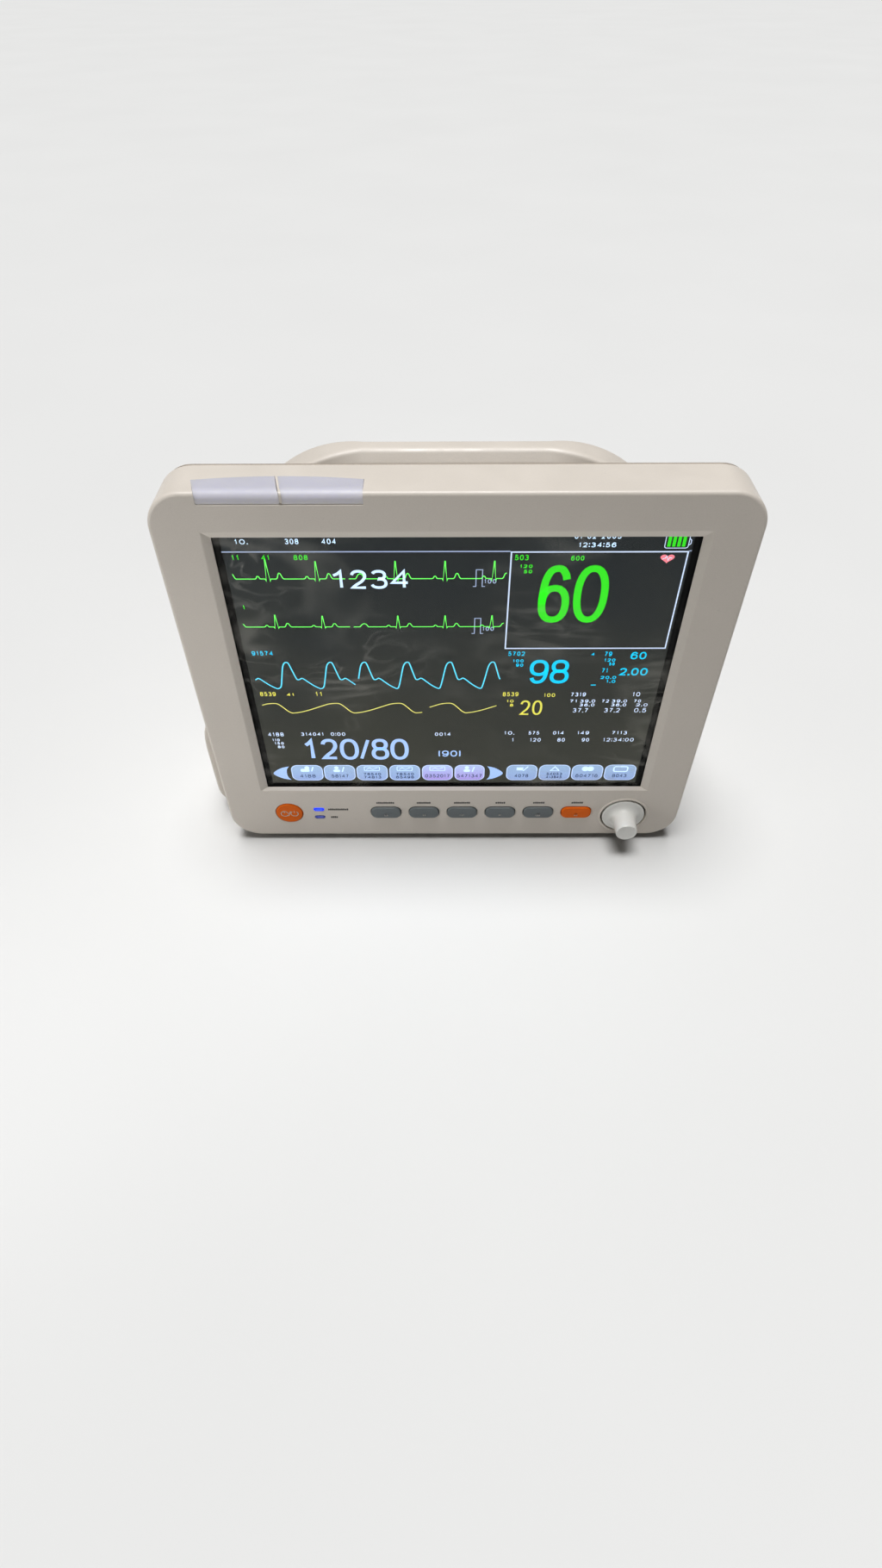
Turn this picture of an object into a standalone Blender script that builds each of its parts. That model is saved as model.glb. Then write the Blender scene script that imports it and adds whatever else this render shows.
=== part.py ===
"""Bedside patient monitor: a bezel and a rear housing around a 12.1 inch display,
with a push-and-turn knob, seven push buttons, a carrying handle, patient sockets on
one side and the mains inlet, battery door and vents at the back.

Local frame, under the empty "monitor_centre": x runs to the viewer's right from the
screen's centreline, y runs into the monitor from the bezel's front face, and z runs up
from the surface that the feet stand on. Run it with
blender --background --python part.py
"""

import math

import bmesh
import bpy
from mathutils import Vector

MM = 0.001
GAP = 0.3 * MM  # air between two pieces that touch

# ---- driving dimensions -------------------------------------------------------------

BEZEL_WIDTH = 312.7 * MM
BEZEL_BOTTOM = 4.0 * MM
BEZEL_TOP = 264.0 * MM
BEZEL_DEPTH = 29.5 * MM
BEZEL_CORNER = 20.0 * MM
FRONT_EDGE_RADIUS = 2.1 * MM
WALL = 2.6 * MM

LIP_HALF_WIDTH = 126.1 * MM  # the opening in front of the display, at its narrowest
LIP_BOTTOM = 52.3 * MM
LIP_TOP = 238.4 * MM
LIP_CHAMFER = 4.4 * MM  # how much wider the opening is at the front face, each side
LIP_CHAMFER_DEPTH = 2.3 * MM
LIP_CHAMFER_BOTTOM = 1.2 * MM
LIP_LEDGE_DROP = 0.6 * MM  # the opening's lower edge is a ledge that slopes forwards

WINDOW_FRONT = 2.9 * MM
WINDOW_THICKNESS = 1.2 * MM
CELL_FRONT = 4.4 * MM
CELL_THICKNESS = 2.0 * MM
PANEL_HALF_WIDTH = 130.0 * MM
PANEL_BOTTOM = 45.5 * MM
PANEL_TOP = 245.5 * MM
BACKLIGHT_FRONT = CELL_FRONT + CELL_THICKNESS + GAP
BACKLIGHT_BACK = 14.5 * MM
BRACKET_FRONT = BACKLIGHT_BACK + GAP
BRACKET_THICKNESS = 1.2 * MM

RIM_INSET = 1.4 * MM  # the housing's rim is this much smaller than the bezel
RIM_DEPTH = 34.0 * MM
HOUSING_FLOOR = BEZEL_BOTTOM + RIM_INSET
HUMP_HALF_WIDTH = 139.0 * MM
HUMP_TOP = 222.0 * MM
HUMP_STRAIGHT_END = 112.0 * MM
BACK = 127.0 * MM
BACK_HALF_WIDTH = 127.0 * MM
BACK_BOTTOM = 11.0 * MM
BACK_TOP = 211.0 * MM

POD_OUT = 15.3 * MM  # how far the socket pod stands out beside the bezel
POD_CENTRE_Z = 50.0 * MM
POD_TOP = 99.0 * MM
POD_FRONT = BEZEL_DEPTH + GAP
POD_BACK = 106.0 * MM
PANEL_Y = (38.0 * MM, 94.0 * MM)
PANEL_Z = (30.0 * MM, 78.0 * MM)
SOCKET_PLATE_OUTER = -(BEZEL_WIDTH / 2 + POD_OUT - 2.4 * MM)
SOCKET_PLATE_INNER = SOCKET_PLATE_OUTER + 2.4 * MM

KEY_ROW_Z = 28.5 * MM
KEY_PITCH = 26.4 * MM
FIRST_KEY_X = -47.1 * MM
KEY_COUNT = 6
KEY_SIZE = (20.5 * MM, 10.4 * MM)
KEY_CORNER = 4.4 * MM
KEY_PROUD = 1.5 * MM
KEY_CLEARANCE = 0.25 * MM
POWER_X, POWER_Z = -114.5 * MM, 27.7 * MM
POWER_RADIUS = 9.25 * MM
POWER_PROUD = 0.7 * MM
FLANGE_FRONT = WALL + GAP
FLANGE_THICKNESS = 1.2 * MM
STEM_END = 7.6 * MM
SWITCH_TOP = 9.0 * MM
KEY_BOARD_FRONT = 12.4 * MM
BOARD_THICKNESS = 1.6 * MM

LIGHT_X = -93.6 * MM
LIGHT_ROWS_Z = (31.3 * MM, 23.4 * MM)
LIGHT_SIZE = (7.0 * MM, 2.8 * MM)

KNOB_X, KNOB_Z = 118.2 * MM, 25.0 * MM
KNOB_TIP = -16.3 * MM
KNOB_HOLE_RADIUS = 15.4 * MM
KNOB_FLANGE_RADIUS = 14.7 * MM
SHAFT_RADIUS = 3.0 * MM
SHAFT_FRONT = -9.0 * MM
SHAFT_BACK = 10.0 * MM
ENCODER_FRONT = 5.4 * MM

LENS_LEFT, LENS_RIGHT = -131.0 * MM, -46.3 * MM
LENS_BOTTOM = 258.0 * MM
LENS_END_DEPTH = 14.0 * MM
LENS_MIDDLE_DEPTH = 17.4 * MM
LENS_RIB = 1.3 * MM
LENS_SLANT = 2.2 * MM  # the lenses' left edges run this much outwards from mid depth
LENS_PROUD = 0.35 * MM
LENS_SLOPE = (3.0 * MM, 2.2 * MM)  # depth and height of the rounded front
LENS_WALL = 1.8 * MM

HANDLE_TOP = 262.9 * MM
HANDLE_BAR_HEIGHT = 14.0 * MM
HANDLE_FRONT = 50.8 * MM
HANDLE_BACK = 60.5 * MM
HANDLE_EDGE_SLOPE = 5.0 * MM  # how far the grip's front edge slopes forwards
HANDLE_FLAT = 50.0 * MM  # half the length of the straight grip
HANDLE_OUTER_RADIUS = 76.0 * MM
HANDLE_INNER_RADIUS = 32.0 * MM
HANDLE_FLARE = (10.0 * MM, 8.0 * MM)  # growth of its feet forwards and backwards
HANDLE_SCREW_X = 98.0 * MM
HANDLE_SCREW_Y = 56.0 * MM

BOSS_RADIUS = 4.0 * MM
BOSS_POINTS = (
    (-145.0 * MM, 246.0 * MM),
    (145.0 * MM, 246.0 * MM),
    (-145.8 * MM, 130.0 * MM),
    (145.8 * MM, 130.0 * MM),
)
LEDGE_INNER = RIM_DEPTH - WALL  # inner face of the ledge between rim and hump
BOSS_END = LEDGE_INNER - GAP

DOOR_X = (14.0 * MM, 106.0 * MM)
DOOR_TOP = 68.0 * MM
DOOR_THICKNESS = 2.6 * MM
DOOR_AXIS_Y = BACK - DOOR_THICKNESS / 2
DOOR_AXIS_Z = 21.4 * MM
DOOR_PIN_RADIUS = 0.7 * MM
STUD_X, STUD_Z = 60.0 * MM, 62.6 * MM
STUD_RADIUS = 2.0 * MM
STUD_HEAD_RADIUS = 3.9 * MM
STUD_END = BACK - 6.0 * MM

BATTERY_LOW = Vector((17.0 * MM, 60.0 * MM, 24.0 * MM))
BATTERY_HIGH = Vector((103.0 * MM, 119.0 * MM, 58.0 * MM))

INLET_X, INLET_Z = 92.0 * MM, 118.0 * MM
INLET_FLANGE = (31.0 * MM, 44.0 * MM)
INLET_BODY = (27.0 * MM, 38.0 * MM)
INLET_FLANGE_THICKNESS = 2.2 * MM
SOCKET_OFFSET_Z = 6.0 * MM
DRAWER_OFFSET_Z = -12.6 * MM
DRAWER_SIZE = (20.0 * MM, 7.4 * MM)

LAN_X, LAN_Z = 58.0 * MM, 108.0 * MM
POST_X, POST_Z = 58.0 * MM, 134.0 * MM
SPEAKER_X, SPEAKER_Z = -82.0 * MM, 56.0 * MM
SPEAKER_RADIUS = 25.0 * MM

COVER_Y = (44.0 * MM, 104.0 * MM)
COVER_Z = (34.0 * MM, 112.0 * MM)

FOOT_RADIUS = 7.0 * MM
FOOT_POINTS = (  # x, y and the underside it is fixed to
    (-118.0 * MM, 14.0 * MM, BEZEL_BOTTOM),
    (118.0 * MM, 14.0 * MM, BEZEL_BOTTOM),
    (-108.0 * MM, 104.0 * MM, HOUSING_FLOOR),
    (108.0 * MM, 104.0 * MM, HOUSING_FLOOR),
)
STAND_PLATE_HALF = (60.0 * MM, 38.0 * MM)
STAND_PLATE_CENTRE_Y = 70.0 * MM
STAND_PLATE_BOTTOM = 2.2 * MM
STAND_HOLES = (50.0 * MM, 30.0 * MM)

LEFTMOST = -(BEZEL_WIDTH / 2 + POD_OUT)
RIGHTMOST = BEZEL_WIDTH / 2
REARMOST = BACK + GAP + INLET_FLANGE_THICKNESS
CENTRE_X = -(LEFTMOST + RIGHTMOST) / 2
CENTRE_Y = -(KNOB_TIP + REARMOST) / 2


# ---- tools --------------------------------------------------------------------------


def clear_scene():
    for obj in list(bpy.data.objects):
        bpy.data.objects.remove(obj)


def make_material(name, colour, roughness, metallic=0.0, alpha=1.0):
    material = bpy.data.materials.new(name)
    material.use_nodes = True
    shader = material.node_tree.nodes["Principled BSDF"]
    shader.inputs["Base Color"].default_value = (*colour, 1.0)
    shader.inputs["Roughness"].default_value = roughness
    shader.inputs["Metallic"].default_value = metallic
    shader.inputs["Alpha"].default_value = alpha
    return material


def add_object(name, bm, material):
    """Links the mesh under monitor_centre, with its faces pointing out."""
    bmesh.ops.recalc_face_normals(bm, faces=bm.faces)
    mesh = bpy.data.meshes.new(name)
    bm.to_mesh(mesh)
    bm.free()
    mesh.materials.append(material)
    mesh.shade_smooth()
    mesh.set_sharp_from_angle(angle=math.radians(35))
    obj = bpy.data.objects.new(name, mesh)
    bpy.context.scene.collection.objects.link(obj)
    obj.parent = CENTRE
    return obj


def as_tool(obj):
    """Hides a cutter or a boss that only a Boolean modifier uses."""
    obj.hide_render = True
    obj.display_type = "WIRE"
    return obj


def boolean(obj, tool, operation):
    modifier = obj.modifiers.new(operation.lower(), "BOOLEAN")
    modifier.operation = operation
    modifier.solver = "EXACT"
    modifier.object = as_tool(tool)
    return obj


def cut(obj, *tools):
    for tool in tools:
        boolean(obj, tool, "DIFFERENCE")
    return obj


def join(obj, *tools):
    for tool in tools:
        boolean(obj, tool, "UNION")
    return obj


def bevel(obj, width, segments=2, angle=40):
    modifier = obj.modifiers.new("bevel", "BEVEL")
    modifier.width = width
    modifier.segments = segments
    modifier.limit_method = "ANGLE"
    modifier.angle_limit = math.radians(angle)
    modifier.use_clamp_overlap = True
    return obj


def on_axis(axis, across, up, along):
    """A point from two coordinates in an outline's plane and one along its axis."""
    if axis == "X":
        return Vector((along, across, up))
    if axis == "Y":
        return Vector((across, along, up))
    return Vector((across, up, along))


def rectangle(half_width, low, high, centre=0.0):
    return [
        (centre - half_width, low),
        (centre + half_width, low),
        (centre + half_width, high),
        (centre - half_width, high),
    ]


def rounded_rectangle(half_width, low, high, radius, steps=6, centre=0.0):
    """Outline with round corners, anticlockwise from the lower right one."""
    corners = (
        (centre + half_width - radius, low + radius, -90),
        (centre + half_width - radius, high - radius, 0),
        (centre - half_width + radius, high - radius, 90),
        (centre - half_width + radius, low + radius, 180),
    )
    points = []
    for corner_x, corner_y, start in corners:
        for step in range(steps + 1):
            angle = math.radians(start + 90 * step / steps)
            points.append(
                (corner_x + radius * math.cos(angle), corner_y + radius * math.sin(angle))
            )
    return points


def circle(radius, centre=(0.0, 0.0), steps=24):
    turn = 2 * math.pi / steps
    return [
        (
            centre[0] + radius * math.cos(turn * step),
            centre[1] + radius * math.sin(turn * step),
        )
        for step in range(steps)
    ]


def prism_in(bm, outline, start, end, axis="Y"):
    """Extrudes an outline along an axis inside a bmesh."""
    loop = [bm.verts.new(on_axis(axis, across, up, start)) for across, up in outline]
    face = bm.faces.new(loop)
    made = bmesh.ops.extrude_face_region(bm, geom=[face])
    moved = [item for item in made["geom"] if isinstance(item, bmesh.types.BMVert)]
    bmesh.ops.translate(bm, verts=moved, vec=on_axis(axis, 0, 0, end - start))


def prism(name, outline, start, end, material, axis="Y"):
    bm = bmesh.new()
    prism_in(bm, outline, start, end, axis)
    return add_object(name, bm, material)


def prisms(name, outlines, start, end, material, axis="Y"):
    """Several separate prisms in one object, for a cutter."""
    bm = bmesh.new()
    for outline in outlines:
        prism_in(bm, outline, start, end, axis)
    return add_object(name, bm, material)


def box(name, low, high, material):
    outline = rectangle((high[0] - low[0]) / 2, low[2], high[2], (low[0] + high[0]) / 2)
    return prism(name, outline, low[1], high[1], material)


def loft(name, rings, material, axis="Y"):
    """Joins outlines with equal numbers of points, each given as (along, outline)."""
    bm = bmesh.new()
    loops = [
        [bm.verts.new(on_axis(axis, across, up, along)) for across, up in outline]
        for along, outline in rings
    ]
    bm.faces.new(loops[0])
    bm.faces.new(loops[-1])
    for first, second in zip(loops, loops[1:]):
        for index in range(len(first)):
            after = (index + 1) % len(first)
            bm.faces.new((first[index], first[after], second[after], second[index]))
    return add_object(name, bm, material)


def lathe(name, profile, material, axis="Y", centre=(0.0, 0.0), steps=24):
    """Turns a profile of (radius, along) points about an axis through centre."""
    bm = bmesh.new()
    start = [
        bm.verts.new(on_axis(axis, centre[0] + radius, centre[1], along))
        for radius, along in profile
    ]
    edges = [bm.edges.new(pair) for pair in zip(start, start[1:])]
    bmesh.ops.spin(
        bm,
        geom=start + edges,
        cent=on_axis(axis, centre[0], centre[1], 0),
        axis=on_axis(axis, 0, 0, 1),
        angle=2 * math.pi,
        steps=steps,
        use_duplicate=False,
    )
    bmesh.ops.remove_doubles(bm, verts=bm.verts, dist=1e-6)
    return add_object(name, bm, material)


def rounded_edge(radius, steps):
    """(setback, inset) pairs of a quarter round that starts flat on a face."""
    for step in range(steps + 1):
        angle = math.radians(90 * step / steps)
        yield radius * (1 - math.cos(angle)), radius * (1 - math.sin(angle))


# ---- casing -------------------------------------------------------------------------


def bezel_outline(inset):
    return rounded_rectangle(
        BEZEL_WIDTH / 2 - inset,
        BEZEL_BOTTOM + inset,
        BEZEL_TOP - inset,
        BEZEL_CORNER - inset,
    )


def screen_opening():
    """Cutter for the opening, which widens towards the front face."""
    slope = LIP_CHAMFER / LIP_CHAMFER_DEPTH
    slope_bottom = LIP_CHAMFER_BOTTOM / LIP_CHAMFER_DEPTH
    proud = 0.5 * MM
    wide = slope * (LIP_CHAMFER_DEPTH + proud)
    wide_bottom = LIP_LEDGE_DROP + slope_bottom * (LIP_CHAMFER_DEPTH + proud)
    front = rectangle(LIP_HALF_WIDTH + wide, LIP_BOTTOM - wide_bottom, LIP_TOP + wide)
    middle = rectangle(LIP_HALF_WIDTH, LIP_BOTTOM - LIP_LEDGE_DROP, LIP_TOP)
    narrow = rectangle(LIP_HALF_WIDTH, LIP_BOTTOM, LIP_TOP)
    rings = [(-proud, front), (LIP_CHAMFER_DEPTH, middle), (WALL + 1 * MM, narrow)]
    return loft("tool_screen_opening", rings, PLASTIC)


def lens_plan(left, right, clearance, right_slant):
    """Plan of one alarm lens: slanted sides, and a back edge on a shallow arc."""
    middle = (LENS_LEFT + LENS_RIGHT) / 2
    half = (LENS_RIGHT - LENS_LEFT) / 2
    front = -2 * MM
    steps = 6
    points = [(left + LENS_SLANT + clearance, front)]
    points.append((right + right_slant - clearance, front))
    start = right - right_slant - clearance
    end = left - LENS_SLANT + clearance
    for step in range(steps + 1):
        x = start + (end - start) * step / steps
        share = ((x - middle) / half) ** 2
        depth = LENS_MIDDLE_DEPTH - (LENS_MIDDLE_DEPTH - LENS_END_DEPTH) * share
        points.append((x, depth - clearance))
    return points


def lens_spans():
    middle = (LENS_LEFT + LENS_RIGHT) / 2
    return (
        ("left", LENS_LEFT, middle - LENS_RIB / 2, LENS_SLANT),
        ("right", middle + LENS_RIB / 2, LENS_RIGHT, 0.0),
    )


def key_centres():
    return [FIRST_KEY_X + KEY_PITCH * index for index in range(KEY_COUNT)]


def key_outline(centre_x, grow):
    return rounded_rectangle(
        KEY_SIZE[0] / 2 + grow,
        KEY_ROW_Z - KEY_SIZE[1] / 2 - grow,
        KEY_ROW_Z + KEY_SIZE[1] / 2 + grow,
        KEY_CORNER + grow,
        steps=4,
        centre=centre_x,
    )


def light_outline(row_z, grow):
    half_height = LIGHT_SIZE[1] / 2 + grow
    return rounded_rectangle(
        LIGHT_SIZE[0] / 2 + grow,
        row_z - half_height,
        row_z + half_height,
        half_height * 0.98,
        steps=3,
        centre=LIGHT_X,
    )


def front_bezel():
    rings = [
        (setback, bezel_outline(inset))
        for setback, inset in rounded_edge(FRONT_EDGE_RADIUS, 4)
    ]
    rings.append((BEZEL_DEPTH, bezel_outline(0)))
    bezel = loft("front_bezel", rings, PLASTIC)
    inside = [(WALL, bezel_outline(WALL)), (BEZEL_DEPTH + 2 * MM, bezel_outline(WALL))]
    cut(bezel, loft("tool_bezel_inside", inside, PLASTIC), screen_opening())
    through = (-2 * MM, WALL + 1 * MM)
    small_holes = [key_outline(x, KEY_CLEARANCE) for x in key_centres()]
    small_holes += [light_outline(z, KEY_CLEARANCE) for z in LIGHT_ROWS_Z]
    small_holes.append(circle(POWER_RADIUS + KEY_CLEARANCE, (POWER_X, POWER_Z), 28))
    cut(bezel, prisms("tool_front_holes", small_holes, *through, PLASTIC))
    knob_hole = [
        (0, -2 * MM),
        (KNOB_HOLE_RADIUS + 2.4 * MM, -2 * MM),
        (KNOB_HOLE_RADIUS + 1.2 * MM, 0),
        (KNOB_HOLE_RADIUS, 1.0 * MM),
        (KNOB_HOLE_RADIUS, WALL + 1 * MM),
        (0, WALL + 1 * MM),
    ]
    centre = (KNOB_X, KNOB_Z)
    cut(bezel, lathe("tool_knob_hole", knob_hole, PLASTIC, centre=centre, steps=32))
    for side, left, right, right_slant in lens_spans():
        notch = lens_plan(left, right, 0, right_slant)
        name = "tool_lens_notch_" + side
        top = BEZEL_TOP + 5 * MM
        cut(bezel, prism(name, notch, LENS_BOTTOM, top, PLASTIC, axis="Z"))
    for index, centre in enumerate(BOSS_POINTS):
        boss = circle(BOSS_RADIUS, centre, 12)
        tool = prism(f"tool_boss_{index}", boss, WALL / 2, BOSS_END, PLASTIC)
        join(bezel, tool)
    pilots = [circle(1.3 * MM, centre, 8) for centre in BOSS_POINTS]
    cut(bezel, prisms("tool_boss_pilots", pilots, 18 * MM, BOSS_END + 1 * MM, PLASTIC))
    return bezel


def housing_rings(inset):
    """Rounded outlines of the rear housing from its rim to its back, drawn in by inset."""
    rim = RIM_INSET + inset
    floor = HOUSING_FLOOR + inset
    outer_rim = rounded_rectangle(
        BEZEL_WIDTH / 2 - rim, floor, BEZEL_TOP - rim, BEZEL_CORNER - rim
    )
    soft_rim = rounded_rectangle(
        BEZEL_WIDTH / 2 - rim - 2 * MM, floor, BEZEL_TOP - rim - 2 * MM, BEZEL_CORNER - rim
    )
    hump = rounded_rectangle(HUMP_HALF_WIDTH - inset, floor, HUMP_TOP - inset, 14 * MM)
    base = rounded_rectangle(
        HUMP_HALF_WIDTH - inset + 2 * MM, floor, HUMP_TOP - inset + 2 * MM, 16 * MM
    )
    shoulder = rounded_rectangle(
        HUMP_HALF_WIDTH - 4 * MM - inset,
        HOUSING_FLOOR + 2.4 * MM + inset,
        HUMP_TOP - 3.5 * MM - inset,
        14 * MM,
    )
    back = rounded_rectangle(
        BACK_HALF_WIDTH - inset, BACK_BOTTOM + inset, BACK_TOP - inset, 12 * MM
    )
    shift = inset  # the cavity's faces lie one wall further forward
    return [
        (BEZEL_DEPTH + GAP if inset == 0 else BEZEL_DEPTH - 2 * MM, outer_rim),
        (RIM_DEPTH - 2 * MM - shift, outer_rim),
        (RIM_DEPTH - shift, soft_rim),
        (RIM_DEPTH + 0.1 * MM - shift, base),
        (RIM_DEPTH + 4 * MM - shift, hump),
        (HUMP_STRAIGHT_END - shift, hump),
        (BACK - 4 * MM - shift, shoulder),
        (BACK - shift, back),
    ]


def pod_outline(out, inset):
    """Front view of the socket pod: flat at its side, with a softer top than bottom."""
    top, bottom = POD_TOP - inset, HOUSING_FLOOR + inset
    root = -HUMP_HALF_WIDTH + 8 * MM
    base = BEZEL_WIDTH / 2 - RIM_INSET - inset
    points = [(root, top)]
    steps = 18
    for step in range(steps + 1):
        share = math.cos(math.pi * step / steps)
        power = 3.6 if share > 0 else 12.0
        half = top - POD_CENTRE_Z if share > 0 else POD_CENTRE_Z - bottom
        reach = base + (out + RIM_INSET) * (1 - abs(share) ** power)
        points.append((-reach, POD_CENTRE_Z + share * half))
    points.append((root, bottom))
    return points


def pod_rings(inset):
    front, back = POD_FRONT + inset, POD_BACK - inset
    blend = -(BEZEL_WIDTH / 2 - HUMP_HALF_WIDTH) + 4 * MM
    return [
        (front, pod_outline(POD_OUT - 1.6 * MM, inset)),
        (front + 0.7 * MM, pod_outline(POD_OUT - 0.5 * MM, inset)),
        (front + 2.0 * MM, pod_outline(POD_OUT, inset)),
        (back - 8 * MM, pod_outline(POD_OUT, inset)),
        (back - 3 * MM, pod_outline(POD_OUT - 3.5 * MM, inset)),
        (back, pod_outline(blend, inset)),
    ]


def vent_slots(xs, low, high, width=3.2 * MM):
    return [rectangle(width / 2, low, high, x) for x in xs]


def grille_slots():
    """Horizontal slots that fill the speaker's circle."""
    slots = []
    for row in range(-4, 5):
        z = SPEAKER_Z + row * 5 * MM
        half = math.sqrt(SPEAKER_RADIUS**2 - (row * 5 * MM) ** 2) - 2 * MM
        slots.append(rectangle(half, z - 1.2 * MM, z + 1.2 * MM, SPEAKER_X))
    return slots


def rear_housing():
    housing = loft("rear_housing", housing_rings(0), PLASTIC)
    join(housing, loft("tool_pod", pod_rings(0), PLASTIC))
    cut(housing, loft("tool_housing_inside", housing_rings(WALL), PLASTIC))
    cut(housing, loft("tool_pod_inside", pod_rings(WALL), PLASTIC))
    through_back = (BACK - 8 * MM, BACK + 2 * MM)

    bay = [BATTERY_LOW - Vector((3, 3, 3)) * MM, BATTERY_HIGH + Vector((3, 0, 3)) * MM]
    bay[1].y = BACK - WALL / 2
    join(housing, box("tool_bay", bay[0], bay[1], PLASTIC))
    collar_low = (DOOR_X[0] - 2.6 * MM, BACK - 8 * MM, DOOR_AXIS_Z - 4.4 * MM)
    collar_high = (DOOR_X[1] + 2.6 * MM, BACK - WALL / 2, DOOR_TOP + 2.6 * MM)
    join(housing, box("tool_bay_collar", collar_low, collar_high, PLASTIC))
    hollow = [BATTERY_LOW - Vector((1, 1, 1)) * MM, BATTERY_HIGH + Vector((1, 0, 1)) * MM]
    hollow[1].y = BACK - 2 * MM
    cut(housing, box("tool_bay_hollow", hollow[0], hollow[1], PLASTIC))
    half_door = (DOOR_X[1] - DOOR_X[0]) / 2 + 0.4 * MM
    door_low = DOOR_AXIS_Z - DOOR_THICKNESS / 2 - 0.5 * MM
    door_hole = rectangle(half_door, door_low, DOOR_TOP + 0.4 * MM, sum(DOOR_X) / 2)
    door_cut = (BACK - DOOR_THICKNESS - 0.35 * MM, BACK + 2 * MM)
    cut(housing, prism("tool_door_hole", door_hole, *door_cut, PLASTIC))
    stud_hole = circle(STUD_RADIUS + 0.35 * MM, (STUD_X, STUD_Z), 16)
    stud_cut = (STUD_END - 0.5 * MM, BACK + 2 * MM)
    cut(housing, prism("tool_stud_hole", stud_hole, *stud_cut, PLASTIC))
    pin_hole = circle(DOOR_PIN_RADIUS + 0.15 * MM, (DOOR_AXIS_Y, DOOR_AXIS_Z), 10)
    pin_span = (DOOR_X[0] - 4 * MM, DOOR_X[1] + 4 * MM)
    cut(housing, prism("tool_pin_hole", pin_hole, *pin_span, PLASTIC, axis="X"))

    top_vents = vent_slots([x * MM for x in range(-99, 100, 11)], 168 * MM, 196 * MM)
    back_holes = top_vents + grille_slots()
    inlet_hole = rectangle(
        INLET_BODY[0] / 2 + GAP,
        INLET_Z - INLET_BODY[1] / 2 - GAP,
        INLET_Z + INLET_BODY[1] / 2 + GAP,
        INLET_X,
    )
    lan_hole = rectangle(8.2 * MM, LAN_Z - 7.0 * MM, LAN_Z + 7.0 * MM, LAN_X)
    back_holes += [inlet_hole, lan_hole, circle(3.3 * MM, (POST_X, POST_Z), 12)]
    cut(housing, prisms("tool_back_holes", back_holes, *through_back, PLASTIC))

    floor_vents = vent_slots([x * MM for x in (-96, -85, -74)], 48 * MM, 92 * MM)
    floor_cut = (HOUSING_FLOOR - 2 * MM, HOUSING_FLOOR + 6 * MM)
    cut(housing, prisms("tool_floor_vents", floor_vents, *floor_cut, PLASTIC, axis="Z"))

    cover_hole = [(COVER_Y[0], COVER_Z[0]), (COVER_Y[1], COVER_Z[0])]
    cover_hole += [(COVER_Y[1], COVER_Z[1]), (COVER_Y[0], COVER_Z[1])]
    cover_cut = (HUMP_HALF_WIDTH - 8 * MM, HUMP_HALF_WIDTH + 2 * MM)
    cut(housing, prism("tool_cover_hole", cover_hole, *cover_cut, PLASTIC, axis="X"))

    panel_hole = [(PANEL_Y[0], PANEL_Z[0]), (PANEL_Y[1], PANEL_Z[0])]
    panel_hole += [(PANEL_Y[1], PANEL_Z[1]), (PANEL_Y[0], PANEL_Z[1])]
    panel_cut = (LEFTMOST - 2 * MM, LEFTMOST + 8 * MM)
    cut(housing, prism("tool_panel_hole", panel_hole, *panel_cut, PLASTIC, axis="X"))

    screw_holes = [circle(2.0 * MM, centre, 10) for centre in BOSS_POINTS]
    ledge_cut = (LEDGE_INNER - 4 * MM, RIM_DEPTH + 8 * MM)
    cut(housing, prisms("tool_screw_holes", screw_holes, *ledge_cut, PLASTIC))
    handle_holes = [
        circle(2.0 * MM, (side * HANDLE_SCREW_X, HANDLE_SCREW_Y), 10) for side in (-1, 1)
    ]
    top_cut = (HUMP_TOP - WALL - 3 * MM, HUMP_TOP + 2 * MM)
    cut(housing, prisms("tool_handle_holes", handle_holes, *top_cut, PLASTIC, axis="Z"))
    return housing


def arch_point(share, radius, top, base):
    """Point and turn of an arch at share 0 (its middle) to 1 (its foot)."""
    full_turn = math.acos(max(0.0, (base - (top - radius)) / radius))
    straight = 0.25
    if share <= straight:
        return HANDLE_FLAT * share / straight, top, 0.0
    turned = (share - straight) / (1 - straight)
    angle = full_turn * turned
    x = HANDLE_FLAT + radius * math.sin(angle)
    return x, top - radius * (1 - math.cos(angle)), turned


def handle_section(place):
    """Cross-section of the handle at place -1 (left foot) to 1 (right foot)."""
    side = math.copysign(1.0, place)
    base = HUMP_TOP + GAP
    outer_x, outer_z, turned = arch_point(abs(place), HANDLE_OUTER_RADIUS, HANDLE_TOP, base)
    inner_top = HANDLE_TOP - HANDLE_BAR_HEIGHT
    inner_x, inner_z, _ = arch_point(abs(place), HANDLE_INNER_RADIUS, inner_top, base)
    flare = 1 - (1 - turned) ** 2
    front = HANDLE_FRONT - HANDLE_FLARE[0] * flare
    back = HANDLE_BACK + HANDLE_FLARE[1] * flare
    foremost = front - HANDLE_EDGE_SLOPE * (1 - flare)
    return [
        Vector((side * outer_x, front, outer_z)),
        Vector((side * outer_x, back, outer_z)),
        Vector((side * inner_x, back, inner_z)),
        Vector((side * inner_x, foremost, inner_z)),
        Vector((side * (outer_x + inner_x) / 2, foremost, (outer_z + inner_z) / 2)),
    ]


def carry_handle():
    """An arch that is lofted from foot to foot, with deeper and wider feet than grip."""
    bm = bmesh.new()
    steps = 24
    loops = []
    for step in range(steps + 1):
        section = handle_section(2 * step / steps - 1)
        loops.append([bm.verts.new(point) for point in section])
    bm.faces.new(loops[0])
    bm.faces.new(loops[-1])
    for first, second in zip(loops, loops[1:]):
        for index in range(5):
            after = (index + 1) % 5
            bm.faces.new((first[index], first[after], second[after], second[index]))
    handle = bevel(add_object("carry_handle", bm, PLASTIC), 2.2 * MM, 2, 50)
    pilots = [
        circle(1.5 * MM, (side * HANDLE_SCREW_X, HANDLE_SCREW_Y), 10) for side in (-1, 1)
    ]
    span = (HUMP_TOP - 1 * MM, HUMP_TOP + 14 * MM)
    return cut(handle, prisms("tool_handle_pilots", pilots, *span, PLASTIC, axis="Z"))


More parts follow.
